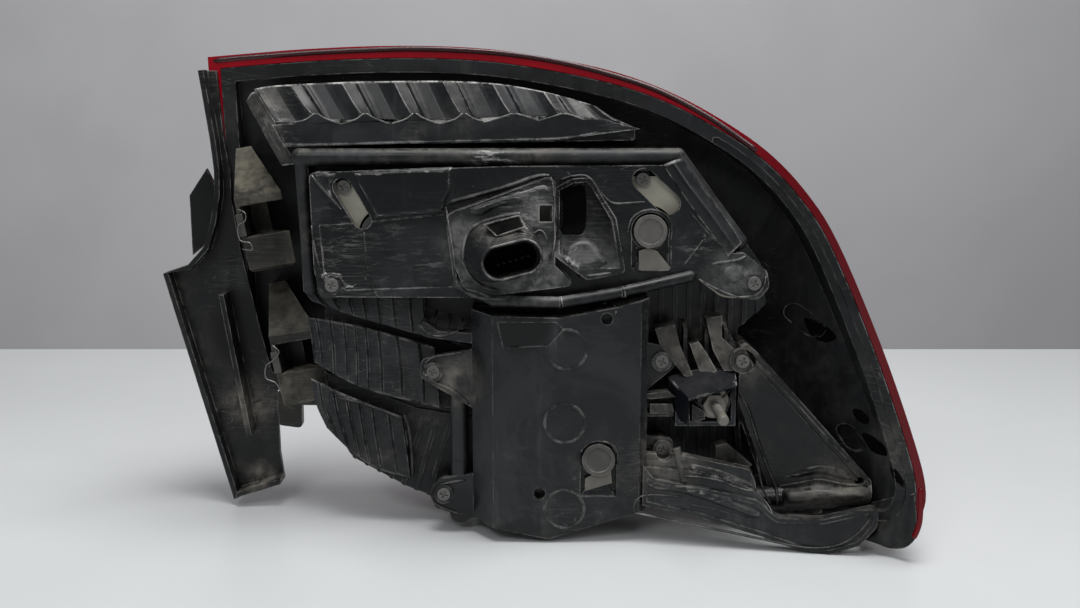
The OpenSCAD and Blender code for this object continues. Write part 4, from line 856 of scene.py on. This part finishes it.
def add_loft(bm, loft):
    """A closed skin over ovals, with a cap at each end."""
    rings = [[bm.verts.new(v) for v in ring] for ring in loft]
    for a, b in zip(rings, rings[1:]):
        for k in range(ROUND):
            bm.faces.new((a[k], a[(k + 1) % ROUND], b[(k + 1) % ROUND], b[k]))
    bm.faces.new(rings[-1])
    bm.faces.new(rings[0][::-1])


bm = bmesh.new()
add_loft(bm, [oval(500, 250, 39, 33, -8.0), oval(501, 250, 37, 31, -10.5), oval(503, 251, 34, 26, -14),
              oval(508, 256, 32, 20.5, -24), oval(512, 260, 31.5, 18.5, -31), oval(512, 260, 31, 18, -32.2),
              oval(512, 260, 29.5, 16.5, -32.2), oval(512, 260, 28.5, 15.5, -31),
              oval(510, 259, 28, 15, -14)])
sleeve = piece("plug_sleeve", bm, MATS["plug_shroud"])
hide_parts("plug_shroud")
# painted shade: the throat of the inlet is black
bm = bmesh.new()
add_loft(bm, [oval(510, 259, 28, 15, -14.2), oval(512, 260, 28.4, 15.4, -30.5),
              oval(512, 260, 27.6, 14.6, -30.5), oval(510, 259, 27, 14, -15)])
piece("plug_throat", bm, SHADE_BLACK)
# painted shade: the latch window is black
bm = bmesh.new()
add_block(bm, [(486, 226, -17.5), (518, 217, -17.5), (523, 227, -23.5), (497, 236, -23.5)], 0, 3)
piece("latch_recess", bm, SHADE_BLACK)
bm = bmesh.new()
for a, b in [((484, 225, -17.5), (519, 215.5, -17.5)), ((519, 215.5, -17.5), (525, 227, -24)),
             ((525, 227, -24), (497, 236.5, -24)), ((497, 236.5, -24), (484, 225, -17.5))]:
    add_tube(bm, [a, b], 1.2, parts=4)
piece("latch_frame", bm, MATS["plug_shroud"])
# corrugated back: crests that run down and to the right, and the scalloped flat band under them
# in pixels: distance between crests and the first one; then how many, and the depth of the band
PITCH, FIRST, COUNT, BAND = 49.5, 315.0, 6, 7.4
CRESTS = [(0.0, 4.6), (0.16, 1.9), (0.22, 1.2), (0.27, 2.7), (0.31, 2.5), (0.38, 0.5), (0.45, 0.1),
          (0.66, 0.0), (0.78, 1.2), (1.0, 4.6)]
UPPER = [(254, 89), (270, 86), (300, 84), (350, 82), (400, 81), (450, 81), (500, 84), (550, 93), (596, 106)]
LOWER = [(275, 123), (292, 123), (325, 123), (372, 123), (420, 123), (470, 122), (520, 122), (568, 121),
         (617, 121)]


def along(row, u):
    """The picture point at a share of a row."""
    i = min(int(u * (len(row) - 1)), len(row) - 2)
    return Vector(row[i]).lerp(Vector(row[i + 1]), u * (len(row) - 1) - i)


def scallop(k):
    """Where crest k meets the band, and how far the band's edge is raised there, in pixels."""
    return FIRST + PITCH * k, 3.0 if k > 3 else 0.0


def crest(u, v):
    """Height of the corrugation: a sharp crest, a lesser ridge beside it, a flat valley."""
    t = (along(LOWER, u).x - FIRST) / PITCH % 1.0
    for (a, ha), (b, hb) in zip(CRESTS, CRESTS[1:]):
        if a <= t <= b:
            return (ha + (hb - ha) * (t - a) / (b - a)) * min(0.9, 0.9 - (v - 0.6) * 1.6)
    return 0.0


bm = bmesh.new()
add_sheet(bm, [[(x, y, 18) for x, y in UPPER],
               [((a[0] + b[0]) / 2, (a[1] + b[1]) / 2, 13.5) for a, b in zip(UPPER, LOWER)],
               [(x, y, 9.5) for x, y in LOWER]], across=44, down=6, back=7, relief=crest)
piece("corrugated_back", bm, MATS["stepped_reflector"])
bm = bmesh.new()
for k in range(COUNT):
    x, up = scallop(k)
    u = min((abs(along(LOWER, i / 400).x - x), i / 400) for i in range(401))[1]
    a, b = along(UPPER, u), along(LOWER, u)
    m = (a + b) / 2
    add_tube(bm, [(a.x, a.y + 1, 13.6), (m.x, m.y, 9.2), ((m.x + 2 * b.x) / 3, b.y - 10, 7.8)], 0.8)
    add_tube(bm, [(x - 22, 123.3 - up, BAND), (x - 9, 119.3 - up, BAND), (x - 1, 113.3, BAND)], 0.8)
    add_tube(bm, [(x + 2, 113.3, BAND), (x + 10, 118.3 - up, BAND), (x + 20, 121.8 - up, BAND)], 0.8)
piece("crest_lines", bm, WORN)
edge = []
for k in range(COUNT):
    x, up = scallop(k)
    edge += [(x - 22, 123.5 - up), (x - 9, 119.5 - up), (x - 1, 113.5), (x + 2, 113.5), (x + 10, 118.5 - up),
             (x + 20, 122 - up)]
bm = bmesh.new()
add_block(bm, [(272, 125)] + edge + [(604, 119), (622, 124), (640, 129), (600, 133.5), (560, 139.5),
                                     (500, 141), (400, 143.5), (284, 146.5)], BAND, 6)
add_tube(bm, [(284, 145, 7.8), (340, 144.4, 7.8), (400, 142.6, 7.8), (500, 140.2, 7.8), (560, 138.6, 7.8),
              (600, 132.6, 7.8)], 1.2)
add_sheet(bm, [[(246, 101, 28), (253, 92, 23), (264, 92, 17)],
               [(255, 118, 26), (263, 116, 19), (275, 120, 10)],
               [(267, 140, 25), (275, 140, 17), (286, 145, 8)],
               [(282, 166, 25), (288, 165, 20), (297, 164, 17)]], across=5, down=5, back=6)
piece("stepped_band", bm, MATS["stepped_reflector"])
# bent wire at the spring clips, where it catches the light
bm = bmesh.new()
add_tube(bm, [(237, 209, 29), (245, 213, 27), (245, 221, 27), (238, 226, 28), (240, 240, 27), (250, 243, 26),
              (252, 250, 26), (242, 249, 28)], 0.8)
add_tube(bm, [(272, 345, 29), (279, 352, 28), (272, 361, 28), (266, 366, 28), (266, 378, 28), (276, 383, 27),
              (281, 392, 27)], 0.8)
piece("clip_wire", bm, simple("wire_steel", (0.22, 0.22, 0.21), 0.3, metal=0.9, dust=0.3))
# painted shade: black patches over the hollows in the wing, and one in the carrier beside the plug
bm = bmesh.new()
for ring in ([(803, 317), (818, 321), (831, 329), (837, 338), (826, 343), (811, 336)],
             [(852, 409), (861, 409), (870, 418), (867, 425), (856, 420)],
             [(861, 433), (872, 435), (885, 446), (887, 456), (872, 452)],
             [(890, 465), (898, 471), (906, 484), (903, 488), (893, 478)]):
    add_pad(bm, "lamp_housing", ring, 0.25, 1.5, grid=2.5, sink=0.1)
add_pad(bm, "upper_carrier", [(559, 184), (570, 180), (584, 180), (587, 215), (583, 234), (570, 235),
                              (560, 230)], 0.25, 1.5, grid=2.5, sink=0.1)
piece("wing_hollow_shade", bm, SHADE_BLACK)
# ears of the lower carrier, shelf and the wall behind the lobe
details("ear_moulding", "lower_carrier", beads=[
    ([(424, 372), (425, 363), (432, 357), (444, 355), (464, 352)], 1.5, 1.5),
    ([(425, 374), (431, 380), (442, 385), (454, 391), (463, 398), (469, 404)], 1.5, 1.5),
    ([(431, 497), (436, 504), (445, 508), (456, 512), (470, 519)], 1.5, 1.5),
    ([(431, 495), (436, 488), (444, 484), (454, 481), (466, 480)], 1.5, 1.5),
    ([(417, 322), (426, 332), (440, 336), (465, 330)], 1.5, 1.5),
], blocks=[([(755, 500), (870, 498), (872, 520), (760, 520)], 2, 4)])

# ---------------------------------------------------------------- stage


def stage_material(name, colour, rough, blotch=0.06, fade=0.0):
    """A plain surface with faint blotches; painted shade makes it darker towards the right by a share."""
    n = Net(name)
    c = n.mix(n.ramp(n.noise(3.0, 4), 0.35, 0.7), tuple(x * (1 - blotch) for x in colour), colour)
    place = n.node("ShaderNodeSeparateXYZ")
    n.link(n.co, place.inputs[0])
    c = n.mix(n.ramp(place.outputs["X"], -0.5, 1.1, 0.0, fade), c, tuple(x * 0.5 for x in colour))
    return n.done(c, rough, Specular_IOR_Level=0.3)


def plane(name, pts, mat):
    """A four-cornered sheet of the stage."""
    me = bpy.data.meshes.new(name)
    me.from_pydata(pts, [], [(0, 1, 2, 3)])
    o = bpy.data.objects.new(name, me)
    scene.collection.objects.link(o)
    me.materials.append(mat)


FLOOR = CAD_BOX[0][2] - 0.0003
FRONT, REAR, HALF = -2.5, 0.505, 3
WALL, FOOT, TOP = 1.1, FLOOR - 0.4, 2.4
plane("floor", [(-HALF, FRONT, FLOOR), (HALF, FRONT, FLOOR), (HALF, REAR, FLOOR), (-HALF, REAR, FLOOR)],
      stage_material("floor_white", (0.57, 0.585, 0.59), 0.35, fade=0.2))
plane("wall", [(-HALF, WALL, FOOT), (HALF, WALL, FOOT), (HALF, WALL, TOP), (-HALF, WALL, TOP)],
      stage_material("wall_grey", (0.50, 0.497, 0.51), 0.6, blotch=0.1, fade=0.6))

# ---------------------------------------------------------------- light and camera


def area(name, loc, target, size, power):
    """A white soft lamp that looks at a target."""
    l = bpy.data.lights.new(name, "AREA")
    l.shape, l.size, l.size_y = "RECTANGLE", size[0], size[1]
    l.energy = power
    o = bpy.data.objects.new(name, l)
    o.location = loc
    o.rotation_euler = (Vector(target) - Vector(loc)).to_track_quat("-Z", "Y").to_euler()
    scene.collection.objects.link(o)


area("top", (0.10, -0.20, 1.5), (-0.1, 0.05, 0.0), (1.1, 0.6), 27)
area("front", (-0.7, -1.5, 1.3), (-0.1, 0, 0.05), (0.6, 0.4), 8)
area("side", (1.1, -0.9, 0.9), (-0.05, 0, 0.05), (0.5, 0.8), 5)
world = bpy.data.worlds.new("world")
scene.world = world
world.use_nodes = True
sky = world.node_tree.nodes["Background"]
sky.inputs["Color"].default_value = (0.85, 0.87, 0.9, 1)
sky.inputs["Strength"].default_value = 0.3

cam = bpy.data.cameras.new("camera")
cam.sensor_width, cam.lens = 36.0, 38.33
cam.clip_start = 0.01
co = bpy.data.objects.new("camera", cam)
co.location = EYE
co.rotation_euler = (math.radians(90) - TILT, 0, 0)
scene.collection.objects.link(co)
scene.camera = co
scene.view_settings.view_transform = "Standard"
